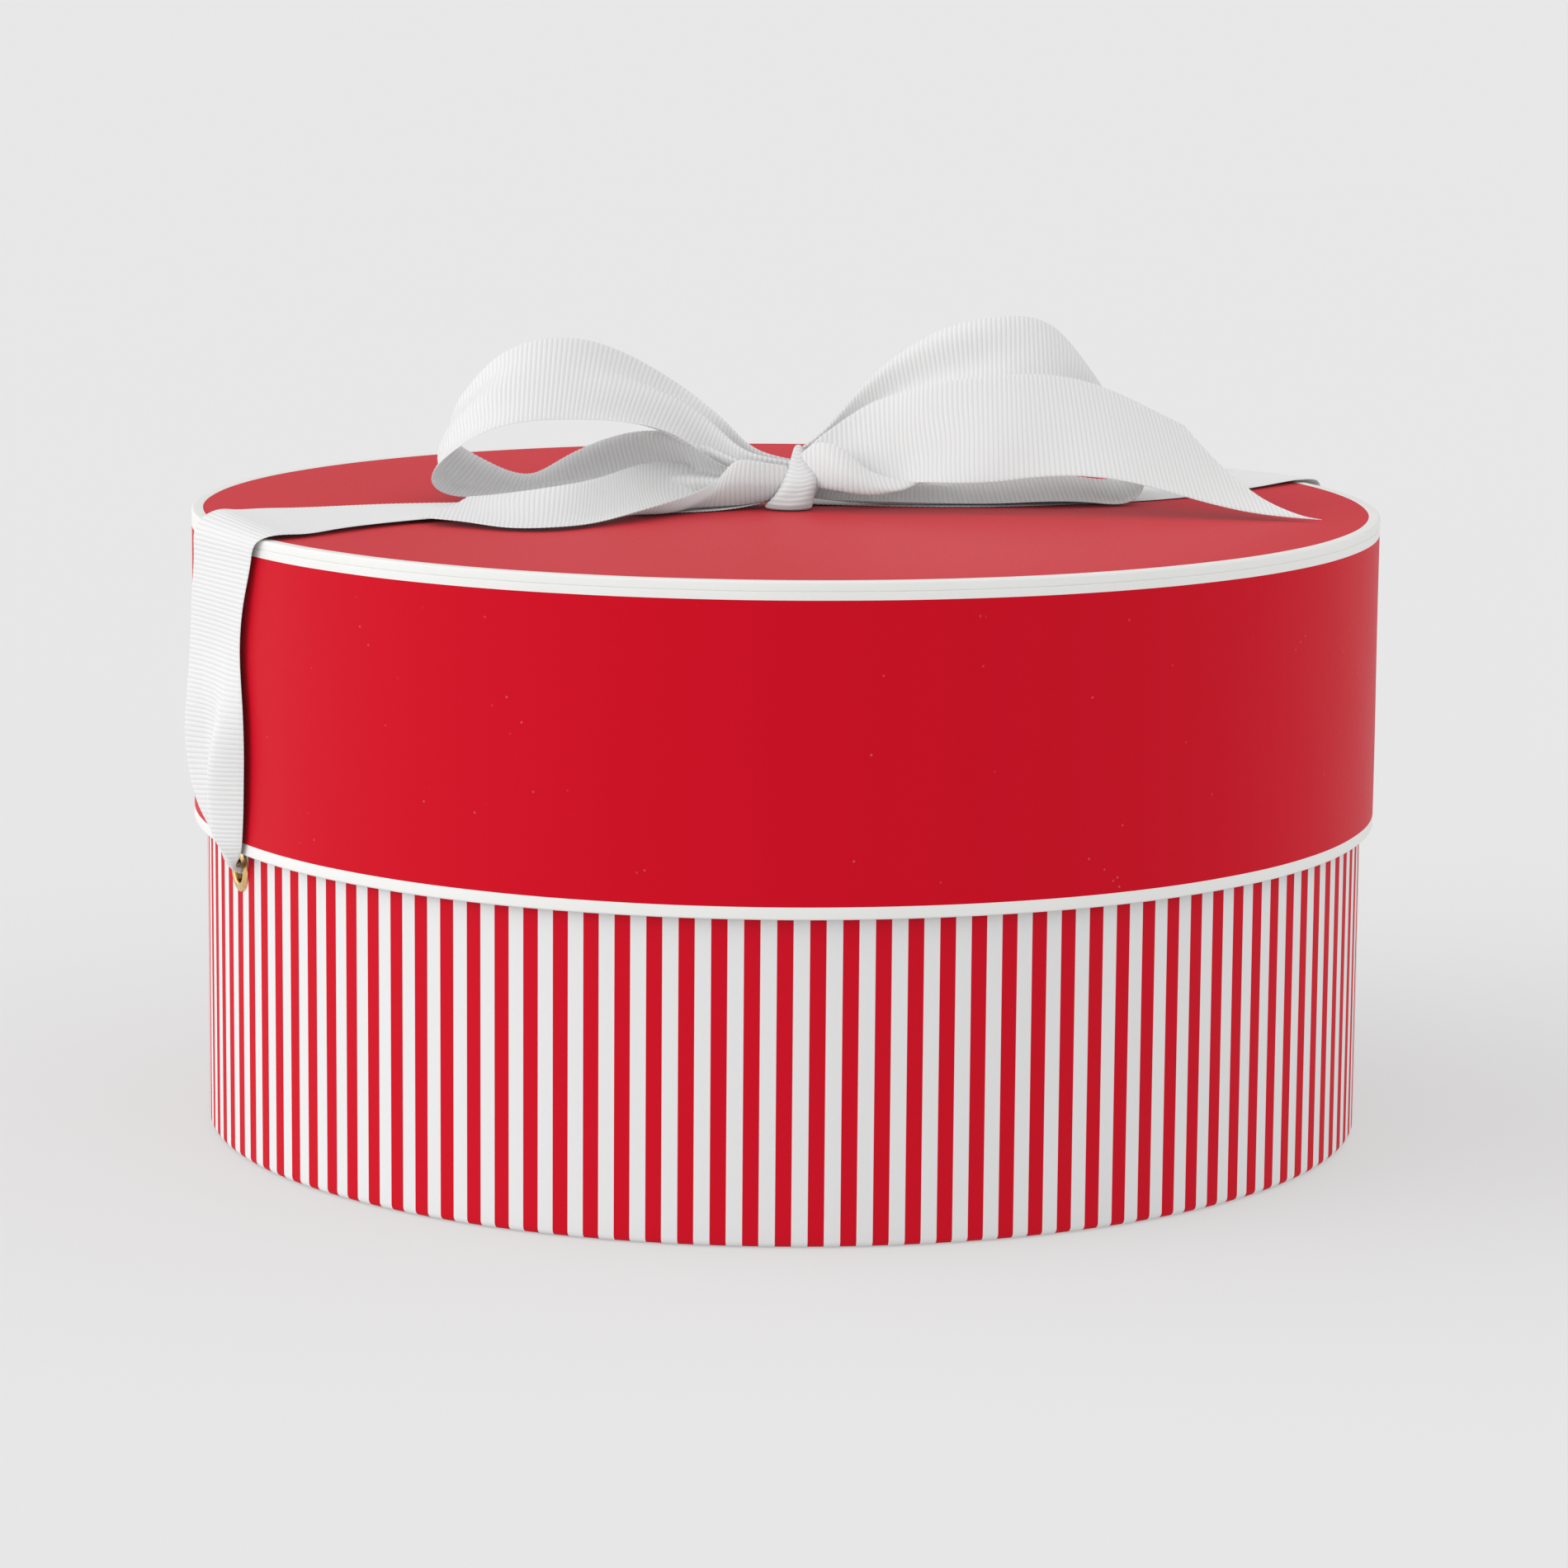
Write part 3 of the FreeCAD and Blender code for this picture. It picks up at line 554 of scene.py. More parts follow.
def thickened(name, surface, s, across, material):
    """The ribbon's two faces, its edges and its ends, from the surface in its middle.

    The faces stand off that surface along its normal by half the thickness, which swells at each
    rib by a raised cosine and thins to a round selvage, by the square root of the way in.
    """
    settings = sizes()
    along = np.gradient(surface, axis=0)
    over = np.gradient(surface, axis=1)
    normal = np.cross(along, over)
    normal /= np.linalg.norm(normal, axis=-1, keepdims=True) + 1e-12
    rib = 0.5 + 0.5 * np.cos(2 * np.pi * s / settings.rib_pitch)
    edge = np.minimum(across, 1 - across) * RIBBON_WIDTH
    selvage = np.sqrt(np.clip(edge / SELVAGE, 0.06, 1))
    half = (settings.ribbon_body / 2 + settings.rib_height * rib) * selvage
    front, back = surface + normal * half[..., None], surface - normal * half[..., None]
    rows, columns = surface.shape[:2]
    points = np.concatenate((front, back), axis=1)
    i, j = np.meshgrid(np.arange(rows - 1), np.arange(columns - 1), indexing="ij")
    wide = 2 * columns
    low = i * wide + j
    top = np.stack((low, low + wide, low + wide + 1, low + 1), -1).reshape(-1, 4)
    bottom = np.stack((low, low + 1, low + wide + 1, low + wide), -1).reshape(-1, 4) + columns
    r = np.arange(rows - 1) * wide
    near = np.stack((r, r + columns, r + wide + columns, r + wide), -1)
    far = np.stack((r, r + wide, r + wide + columns, r + columns), -1) + columns - 1
    c = np.arange(columns - 1)
    start_cap = np.stack((c, c + 1, c + 1 + columns, c + columns), -1)
    end_cap = np.stack((c, c + columns, c + 1 + columns, c + 1), -1) + (rows - 1) * wide
    faces = np.concatenate((top, bottom, near, far, start_cap, end_cap))
    piece = mesh_object(name, points, faces, material, sharp=RIBBON_CORNER)
    lay_along = np.concatenate((s, s), axis=1)
    lay_across = np.broadcast_to(np.concatenate((across, across)) * RIBBON_WIDTH, lay_along.shape)
    write_lay(piece, lay_along.ravel(), lay_across.ravel())
    return piece


def write_lay(piece, along, across):
    """Keeps each point's place on the flat ribbon in a UV map, in metres."""
    mesh = piece.data
    corners = np.empty(len(mesh.loops), dtype=np.int32)
    mesh.loops.foreach_get("vertex_index", corners)
    layer = mesh.uv_layers.new(name="ribbon")
    layer.data.foreach_set("uv", np.stack((along[corners], across[corners]), -1).ravel())


# ---- Materials -----------------------------------------------------------------------------

class Nodes:
    """Short calls for adding and joining the nodes of one tree."""

    def __init__(self, tree):
        self.tree = tree

    def add(self, kind, settings=None, **inputs):
        """A new node with its settings and its inputs, which are named with _ for a space."""
        node = self.tree.nodes.new(kind)
        for name, value in (settings or {}).items():
            setattr(node, name, value)
        for name, value in inputs.items():
            self.feed(node, name.replace("_", " "), value)
        return node

    def feed(self, node, socket, value):
        """Links an output to a node's input, or sets the input to a value."""
        target = node.inputs[socket]
        if isinstance(value, bpy.types.NodeSocket):
            self.tree.links.new(value, target)
        else:
            target.default_value = value

    def math(self, operation, a, b=None, c=None):
        """The result of one operation on up to three outputs or numbers."""
        node = self.tree.nodes.new("ShaderNodeMath")
        node.operation = operation
        for i, value in enumerate((a, b, c)):
            if value is None:
                continue
            if isinstance(value, bpy.types.NodeSocket):
                self.tree.links.new(value, node.inputs[i])
            else:
                node.inputs[i].default_value = value
        return node.outputs[0]

    def blend(self, share, a, b):
        """Colour a where share is 0 and colour b where it is 1."""
        node = self.tree.nodes.new("ShaderNodeMix")
        node.data_type = "RGBA"
        for socket, value in ((node.inputs["Factor"], share), (node.inputs[6], a), (node.inputs[7], b)):
            if isinstance(value, bpy.types.NodeSocket):
                self.tree.links.new(value, socket)
            else:
                socket.default_value = value
        return node.outputs[2]

    def distance_along(self, vector, direction):
        """How far a vector goes along a direction."""
        node = self.tree.nodes.new("ShaderNodeVectorMath")
        node.operation = "DOT_PRODUCT"
        self.tree.links.new(vector, node.inputs[0])
        node.inputs[1].default_value = direction
        return node.outputs["Value"]

    def ramp(self, value, low, high):
        """0 below low, 1 above high, smooth between."""
        node = self.add("ShaderNodeMapRange", {"interpolation_type": "SMOOTHSTEP"},
                        Value=value, From_Min=low, From_Max=high)
        return node.outputs["Result"]


def rgba(colour, scale=1.0):
    """A colour, darkened by a scale, with its opacity of 1."""
    return tuple(c * scale for c in colour[:3]) + (1.0,)


def paper_group():
    """Uncoated paper: fine fibres, faint clouds and a few pale specks, from Object coordinates."""
    if "paper surface" in bpy.data.node_groups:
        return bpy.data.node_groups["paper surface"]
    group = bpy.data.node_groups.new("paper surface", "ShaderNodeTree")
    for name, default in (("Fibre size", 0.0012), ("Speck amount", 0.5)):
        socket = group.interface.new_socket(name=name, in_out="INPUT", socket_type="NodeSocketFloat")
        socket.default_value = default
    for name in ("Height", "Cloud", "Speck"):
        group.interface.new_socket(name=name, in_out="OUTPUT", socket_type="NodeSocketFloat")
    nodes = Nodes(group)
    given = nodes.add("NodeGroupInput")
    place = nodes.add("ShaderNodeTexCoord").outputs["Object"]
    scale = nodes.math("DIVIDE", 1.0, given.outputs["Fibre size"])
    fibre = nodes.add("ShaderNodeTexNoise", Vector=place, Scale=scale, Detail=5.0, Roughness=0.65)
    cloud = nodes.add("ShaderNodeTexNoise", Vector=place, Scale=22.0, Detail=4.0, Roughness=0.55)
    speck = nodes.add("ShaderNodeTexVoronoi", Vector=place, Scale=260.0, Randomness=1.0)
    rare = nodes.add("ShaderNodeTexNoise", Vector=place, Scale=90.0, Detail=1.0)
    dot = nodes.math("SUBTRACT", 1.0, nodes.ramp(speck.outputs["Distance"], 0.05, 0.12))
    chosen = nodes.ramp(rare.outputs["Fac"], 0.60, 0.66)
    amount = nodes.math("MULTIPLY", nodes.math("MULTIPLY", dot, chosen), given.outputs["Speck amount"])
    result = nodes.add("NodeGroupOutput")
    nodes.feed(result, "Height", fibre.outputs["Fac"])
    nodes.feed(result, "Cloud", cloud.outputs["Fac"])
    nodes.feed(result, "Speck", amount)
    return group


def new_material(name):
    """A material, its nodes and its shader."""
    material = bpy.data.materials.new(name)
    material.use_nodes = True
    nodes = Nodes(material.node_tree)
    shader = material.node_tree.nodes["Principled BSDF"]
    return material, nodes, shader


def paper_look(nodes, shader, colour, pale, roughness, specks=0.5, bump=0.12, stain=False):
    """Feeds a paper's colour, with its clouds and specks, its roughness and its fine relief.

    A paper with a stain has the stain's colour where its light falls on other surfaces.
    """
    surface = nodes.add("ShaderNodeGroup", {"node_tree": paper_group()})
    nodes.feed(surface, "Fibre size", 1.2 * MM)
    nodes.feed(surface, "Speck amount", specks)
    cloud = nodes.ramp(surface.outputs["Cloud"], 0.25, 0.75)
    tinted = nodes.blend(nodes.math("MULTIPLY", cloud, 0.35), colour, pale)
    spotted = nodes.blend(surface.outputs["Speck"], tinted, rgba((0.9, 0.75, 0.75)))
    if stain:
        bounced = nodes.add("ShaderNodeLightPath").outputs["Is Diffuse Ray"]
        spotted = nodes.blend(bounced, spotted, STAIN)
    nodes.feed(shader, "Base Color", spotted)
    uneven = nodes.math("MULTIPLY_ADD", surface.outputs["Height"], 0.16, roughness - 0.08)
    nodes.feed(shader, "Roughness", uneven)
    relief = nodes.add("ShaderNodeBump", Strength=bump, Distance=0.0004, Height=surface.outputs["Height"])
    nodes.feed(shader, "Normal", relief.outputs["Normal"])


def paper_material(name, colour, roughness=0.6, specks=0.0, bump=0.12, pale_by=1.06):
    """A plain paper or board, a little paler in its clouds."""
    material, nodes, shader = new_material(name)
    pale = rgba([min(c * pale_by + 0.002, 1.0) for c in colour])
    paper_look(nodes, shader, rgba(colour), pale, roughness, specks, bump)
    return material


def red_paper():
    """Matt red paper that looks paler where it is seen along its face."""
    material, nodes, shader = new_material("red paper")
    red = rgba(colours().red)
    paper_look(nodes, shader, red, red, 0.5, 0.10, stain=True)
    shader.inputs["Sheen Weight"].default_value = 0.09
    shader.inputs["Sheen Roughness"].default_value = 0.35
    shader.inputs["Sheen Tint"].default_value = (1.0, 0.80, 0.80, 1.0)
    shader.inputs["Specular IOR Level"].default_value = 0.08
    return material


def striped_paper():
    """Even stripes by the angle round Z, so that they run on as rays under the base."""
    material, nodes, shader = new_material("striped paper")
    place = nodes.add("ShaderNodeSeparateXYZ", Vector=nodes.add("ShaderNodeTexCoord").outputs["Object"])
    angle = nodes.math("ARCTAN2", place.outputs["Y"], place.outputs["X"])
    turns = nodes.math("DIVIDE", nodes.math("SUBTRACT", angle, sizes().stripe_offset), 2 * math.pi)
    count = float(sizes().stripes)
    phase = nodes.math("FRACT", nodes.math("MULTIPLY_ADD", turns, count, 200.0))
    tent = nodes.math("ABSOLUTE", nodes.math("SUBTRACT", phase, 0.5))
    ink = nodes.ramp(tent, 0.243, 0.257)
    red = nodes.blend(ink, rgba(colours().red), rgba(colours().white_stripe))
    paper_look(nodes, shader, red, red, 0.6, 0.0, 0.07, stain=True)
    shader.inputs["Specular IOR Level"].default_value = 0.12
    return material


def brass_material():
    """Bright rolled brass with fine turning marks and a duller tone in random patches."""
    material, nodes, shader = new_material("brass")
    place = nodes.add("ShaderNodeTexCoord").outputs["Object"]
    grain = nodes.add("ShaderNodeTexNoise", Vector=place, Scale=2400.0, Detail=3.0)
    tarnish = nodes.add("ShaderNodeTexNoise", Vector=place, Scale=420.0, Detail=3.0)
    dull = nodes.ramp(tarnish.outputs["Fac"], 0.45, 0.7)
    nodes.feed(shader, "Base Color", nodes.blend(dull, rgba(colours().brass), rgba(colours().brass, 0.78)))
    shader.inputs["Metallic"].default_value = 1.0
    nodes.feed(shader, "Roughness", nodes.math("MULTIPLY_ADD", dull, 0.14, 0.18))
    relief = nodes.add("ShaderNodeBump", Strength=0.08, Distance=0.0001, Height=grain.outputs["Fac"])
    nodes.feed(shader, "Normal", relief.outputs["Normal"])
    return material


def grosgrain():
    """White grosgrain: the ribs are in the mesh, and this adds the warp threads that cross them and paints
    shade into the valleys between the ribs.
    """
    material, nodes, shader = new_material("grosgrain")
    lay = nodes.add("ShaderNodeUVMap", {"uv_map": "ribbon"}).outputs["UV"]
    place = nodes.add("ShaderNodeSeparateXYZ", Vector=lay)
    rib = nodes.math("COSINE", nodes.math("MULTIPLY", place.outputs["X"], 2 * math.pi / sizes().rib_pitch))
    warp = nodes.math("SINE", nodes.math("MULTIPLY", place.outputs["Y"], 2 * math.pi / WARP_PITCH))
    # Painted shade: the colour is darker in the valleys between the ribs, where shade would fall.
    rib_valley_shade_mask = nodes.ramp(nodes.math("MULTIPLY", rib, -1.0), 0.1, 1.0)
    white = rgba(colours().ribbon)
    painted_rib_shade = nodes.blend(nodes.math("MULTIPLY", rib_valley_shade_mask, 0.5), white, rgba(colours().ribbon, 0.74))
    soft = nodes.add("ShaderNodeTexNoise", Vector=nodes.add("ShaderNodeTexCoord").outputs["Object"],
                     Scale=160.0, Detail=4.0)
    nodes.feed(shader, "Base Color", nodes.blend(
        nodes.math("MULTIPLY", nodes.ramp(soft.outputs["Fac"], 0.3, 0.8), 0.25), painted_rib_shade,
        rgba(colours().ribbon, 0.95)))
    shader.inputs["Roughness"].default_value = 0.62
    shader.inputs["Specular IOR Level"].default_value = 0.35
    shader.inputs["Sheen Weight"].default_value = 0.25
    shader.inputs["Sheen Roughness"].default_value = 0.35
    height = nodes.math("ADD", nodes.math("MULTIPLY", warp, 0.5), soft.outputs["Fac"])
    relief = nodes.add("ShaderNodeBump", Strength=0.35, Distance=0.00006, Height=height)
    nodes.feed(shader, "Normal", relief.outputs["Normal"])
    return material


MAKERS = {
    "red_paper": red_paper,
    "striped_paper": striped_paper,
    "white_binding": lambda: paper_material("white binding", colours().binding, 0.55),
    "lining_paper": lambda: paper_material("lining paper", colours().lining, 0.7),
    "bottom_paper": lambda: paper_material("bottom paper", colours().lining, 0.7),
    "greyboard": lambda: paper_material("greyboard", colours().greyboard, 0.85, 0.4, 0.4, 1.3),
    "gummed_tape": lambda: paper_material("gummed tape", colours().kraft, 0.6, 0.0, 0.2),
    "brass": brass_material,
    "grosgrain": grosgrain,
}
made = {}


def finish_for(slot):
    """The finish of a slot, made when it is first wanted."""
    if slot not in made:
        made[slot] = MAKERS[slot]()
    return made[slot]


def placed(piece, body, slot, *nodes):
    """Rides a finished piece on its body in place of its CAD nodes. Its slot is not used."""
    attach(piece, body)
    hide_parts(*nodes)


def dress_cad(*names):
    """Gives CAD nodes that stay as they are the finish of their own slot."""
    slots = {part["node"]: part["material_slot"] for part in frame["record"]["subparts"]}
    for name in names:
        node = frame["nodes"][name]
        node.data.materials.clear()
        node.data.materials.append(finish_for(slots[name]))


# ---- Operators -----------------------------------------------------------------------------

class HATBOX_OT_base(bpy.types.Operator):
    """Make the papered base of the box"""

    bl_idname = "hatbox.base"
    bl_label = "Base"

    def execute(self, context):
        wrap_low, wrap_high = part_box("base_stripe_wrap")
        board_low, board_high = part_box("base_wall_board")
        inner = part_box("base_bottom_board")[1].x
        lining_low, lining_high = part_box("base_wall_lining")
        floor_low, floor_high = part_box("base_floor_lining")
        under_low, under_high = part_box("base_bottom_paper")
        paper = floor_high.z - floor_low.z
        foot = sizes().foot_round
        under_edge = wrap_high.x - sizes().turn_under
        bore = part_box("eyelet_washer_right")[1].z - eyelet_height() - BORE_PLAY
        wrap = rounded_outline([
            (under_edge, wrap_low.z, 0),
            (wrap_high.x, wrap_low.z, foot),
            (wrap_high.x, wrap_high.z, paper * 0.8),
            (inner - paper, wrap_high.z, paper * 0.8),
            (inner - paper, lining_high.z, 0),
            (inner, lining_high.z, 0),
            (inner, board_high.z, 0),
            (board_high.x, board_high.z, 0),
            (board_high.x, board_low.z, foot - paper),
            (under_edge, board_low.z, 0),
        ], step=4 * MM)
        piece = bored(lathe("striped_wrap", wrap, finish_for("striped_paper")), bore)
        placed(piece, "base", "striped_paper", "base_stripe_wrap")
        lining = rounded_outline([
            (inner - paper, lining_low.z, 0), (inner, lining_low.z, 0),
            (inner, lining_high.z, 0), (inner - paper, lining_high.z, 0)], step=8 * MM)
        piece = bored(lathe("wall_lining", lining, finish_for("lining_paper")), bore)
        placed(piece, "base", "lining_paper", "base_wall_lining")
        disc = rounded_outline([
            (0, floor_low.z, 0), (inner, floor_low.z, 0), (inner, floor_high.z, 0),
            (0, floor_high.z, 0)], step=20 * MM)
        placed(lathe("floor_lining", disc, finish_for("lining_paper")), "base", "lining_paper",
               "base_floor_lining")
        under = rounded_outline([
            (0, under_low.z, 0), (under_high.x, under_low.z, 0), (under_high.x, paper, 0),
            (under_edge, paper, 0), (under_edge, under_high.z, 0), (0, under_high.z, 0)], step=20 * MM)
        placed(lathe("bottom_paper", under, finish_for("bottom_paper")), "base", "bottom_paper",
               "base_bottom_paper")
        dress_cad("base_bottom_board", "base_wall_board", "base_wall_seam_tape")
        return {"FINISHED"}


class HATBOX_OT_lid(bpy.types.Operator):
    """Make the papered lid and its white bindings"""

    bl_idname = "hatbox.lid"
    bl_label = "Lid"

    def execute(self, context):
        rim_low, rim_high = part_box("lid_top_edge_binding")
        wall_low, wall_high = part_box("lid_wall_paper")
        band_low, band_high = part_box("lid_wall_top_binding")
        foot_low, foot_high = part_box("lid_bottom_edge_binding")
        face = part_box("lid_top_paper")[1].x
        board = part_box("lid_wall_board")[1].x
        disc_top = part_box("lid_top_board")[1].z
        lining_low, lining_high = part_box("lid_wall_lining")
        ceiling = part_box("lid_top_lining")[0].z
        radius = rim_high.x
        paper = radius - board
        rounding = sizes().edge_round
        groove = 0.22 * MM
        inside = lining_high.x - paper
        pieces = {
            "lid_edge_binding": ("white_binding", "lid_top_edge_binding", [
                (board, rim_low.z, 0), (radius, rim_low.z + groove, groove * 0.9),
                (radius, rim_high.z, rounding), (face, rim_high.z, 0.1 * MM), (face, disc_top, 0),
                (board, disc_top, 0)]),
            "lid_face_paper": ("red_paper", "lid_top_paper", [
                (0, disc_top, 0), (face, disc_top, 0), (face, rim_high.z - 0.08 * MM, 0),
                (0, rim_high.z - 0.08 * MM, 0)]),
            "lid_upper_band": ("white_binding", "lid_wall_top_binding", [
                (board, band_low.z, 0), (radius, band_low.z, 0.1 * MM),
                (radius, band_high.z - groove, groove * 0.9), (board, band_high.z, 0)]),
            "lid_wall_cover": ("red_paper", "lid_wall_paper", [
                (board, wall_low.z, 0), (radius - 0.05 * MM, wall_low.z, 0),
                (radius - 0.05 * MM, wall_high.z, 0), (board, wall_high.z, 0)]),
            "lid_lower_binding": ("white_binding", "lid_bottom_edge_binding", [
                (inside - paper, foot_low.z, paper), (radius, foot_low.z, rounding),
                (radius, wall_low.z, 0.1 * MM), (board, wall_low.z, 0), (board, foot_low.z + paper, 0),
                (inside, foot_low.z + paper, 0), (inside, foot_high.z, 0),
                (inside - paper, foot_high.z, 0)]),
            "lid_wall_inside": ("lining_paper", "lid_wall_lining", [
                (inside, lining_low.z, 0), (lining_high.x, lining_low.z, 0),
                (lining_high.x, lining_high.z, 0), (inside, lining_high.z, 0)]),
            "lid_wall_core": ("greyboard", "lid_wall_board", [
                (lining_high.x, foot_low.z + paper, 0), (board, foot_low.z + paper, 0),
                (board, ceiling, 0), (lining_high.x, ceiling, 0)]),
            "lid_disc_core": ("greyboard", "lid_top_board", [
                (0, lining_high.z, 0), (board, lining_high.z, 0), (board, disc_top, 0),
                (0, disc_top, 0)]),
            "lid_ceiling": ("lining_paper", "lid_top_lining", [
                (0, ceiling, 0), (inside, ceiling, 0), (inside, lining_high.z, 0),
                (0, lining_high.z, 0)]),
        }
        for name, (slot, node, corners) in pieces.items():
            piece = lathe(name, rounded_outline(corners, step=2 * MM), finish_for(slot), wandering=True)
            placed(piece, "lid", slot, node)
        dress_cad("lid_wall_seam_tape")
        return {"FINISHED"}


class HATBOX_OT_eyelets(bpy.types.Operator):
    """Give the eyelets and washers their brass"""

    bl_idname = "hatbox.eyelets"
    bl_label = "Eyelets"

    def execute(self, context):
        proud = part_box("eyelet_right")[1].x
        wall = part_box("base_stripe_wrap")[1].x
        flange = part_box("eyelet_right")[1].z - eyelet_height()
        hole = EYELET_HOLE
        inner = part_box("eyelet_right")[0].x
        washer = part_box("eyelet_washer_right")[0].x
        outline = np.array(rounded_outline([
            (hole, inner, 0.3 * MM), (hole + BARREL_WALL, inner, 0.5 * MM),
            (hole + BARREL_WALL, washer, 0), (hole + 0.3 * MM, washer, 0),
            (hole + 0.3 * MM, wall - 0.1 * MM, 0), (flange, wall - 0.1 * MM, 0.2 * MM),
            (flange - 0.1 * MM, wall + 0.55 * MM, 0.4 * MM), (flange - 1.2 * MM, proud, 0.9 * MM),
            (hole + 0.15 * MM, proud, 0.75 * MM)], step=0.25 * MM))[::-1]
        for side, sign in (("right", 1), ("left", -1)):
            piece = spun_along_x("brass_eyelet_" + side, outline, sign)
            placed(piece, "base", "brass", "eyelet_" + side)
        dress_cad("eyelet_washer_left", "eyelet_washer_right")
        return {"FINISHED"}


def spun_along_x(name, outline, sign):
    """An outline of (radius, distance along X) carried round a line along X at the eyelets."""
    count = 96
    angle = np.linspace(0, 2 * np.pi, count, endpoint=False)[:, None]
    radius, reach = outline[None, :, 0], outline[None, :, 1] + 0 * angle
    points = np.stack((sign * reach, sign * radius * np.cos(angle),
                       eyelet_height() + radius * np.sin(angle)), -1)
    rings = len(outline)
    i, j = np.meshgrid(np.arange(count), np.arange(rings), indexing="ij")
    k, m = (i + 1) % count, (j + 1) % rings
    faces = np.stack((i * rings + j, i * rings + m, k * rings + m, k * rings + j), -1).reshape(-1, 4)
    return mesh_object(name, points, faces[:, ::-1], finish_for("brass"))


class HATBOX_OT_strands(bpy.types.Operator):
    """Lay the two strands of ribbon from the eyelets to the bow"""

    bl_idname = "hatbox.strands"
    bl_label = "Strands"

    def execute(self, context):
        stations = guided(STRAND) * MM
        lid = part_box("lid_top_paper")[1].z
        for side, sign, angle, wander in (("left", -1, 0.0, 0.0), ("right", 1, math.pi, WANDER)):
            if side == "right":
                lying = lid + np.maximum((stations[..., 2] - lid) * RIGHT_LIFT, LEAST_LIFT)
                stations[..., 2] = np.where(stations[..., 2] > lid, lying, stations[..., 2])
            reach = np.hypot(stations[..., 0], stations[..., 1])
            share = smooth(stations[..., 2], *WANDER_HEIGHTS) * smooth(reach, *WANDER_REACHES)
            piece, length = ribbon("ribbon_strand_" + side, turned(stations, angle + wander * share),
                                   finish_for("grosgrain"), crisp=0.7)
            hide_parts("ribbon_side_" + side, "ribbon_top_" + side, "ribbon_throat_" + side)
            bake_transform(piece)
            stop = stop_knot("ribbon_stop_" + side, sign)
            placed(stop, "base", "grosgrain", "ribbon_knot_" + side)
        return {"FINISHED"}


def stop_knot(name, sign):
    """A small overhand knot: an ellipsoid whose radius swells and dips in a few twisted lobes."""
    low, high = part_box("ribbon_knot_right")
    middle = (np.array(low) + np.array(high)) / 2
    half = (np.array(high) - np.array(low)) / 2
    rows, columns = 120, 240
    tilt = np.linspace(0, np.pi, rows)[:, None]
    turn = np.linspace(0, 2 * np.pi, columns, endpoint=False)[None, :]
    lobes = 0.88 + 0.09 * np.cos(3 * turn + 4 * tilt) + 0.02 * np.cos(40 * tilt + 2 * turn)
    lobes = 1 + (lobes - 1) * np.sin(tilt) ** 0.5
    points = np.stack((np.sin(tilt) * np.cos(turn), np.sin(tilt) * np.sin(turn),
                       np.cos(tilt) + 0 * turn), -1) * lobes[..., None] * half * 0.98 + middle
    points[..., 0] *= sign
    i, j = np.meshgrid(np.arange(rows - 1), np.arange(columns), indexing="ij")
    k = (j + 1) % columns
    faces = np.stack((i * columns + j, (i + 1) * columns + j, (i + 1) * columns + k,
                      i * columns + k), -1).reshape(-1, 4)
    if sign < 0:
        faces = faces[:, ::-1]
    piece = mesh_object(name, points, faces, finish_for("grosgrain"))
    write_lay(piece, (tilt * 0.02 + 0 * turn).ravel(), (turn * 0.006 + 0 * tilt).ravel())
    weld(piece)
    return piece


class HATBOX_OT_bow(bpy.types.Operator):
    """Tie the bow: two loops, two tails and the turn round the knot"""

    bl_idname = "hatbox.bow"
    bl_label = "Bow"

    def execute(self, context):
        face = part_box("lid_top_paper")[1].z
        lengths = {
            "bow_loop_left": (LOOP_LEFT, {"folds": 1.5, "deepest": 3 * MM}),
            "bow_loop_right": (LOOP_RIGHT, {"folds": 1.5, "deepest": 1.8 * MM}),
            "bow_tail_left": (TAIL_LEFT, {"cut_end": 12 * MM, "crisp": 0.2}),
            "bow_tail_right": (TAIL_RIGHT, {"cut_end": 34 * MM, "cut_curve": 0.6}),
            "bow_knot": (KNOT_TURN, {}),
        }
        for node, (stations, shape) in lengths.items():
            points = guided(stations) * MM + np.array((0, 0, face))
            piece, length = ribbon(node.replace("bow_knot", "bow_knot_turn") + "_ribbon",
                                   turned(points, sizes().bow_turn), finish_for("grosgrain"), **shape)
            placed(piece, "ribbon_bow", "grosgrain", node)
        return {"FINISHED"}


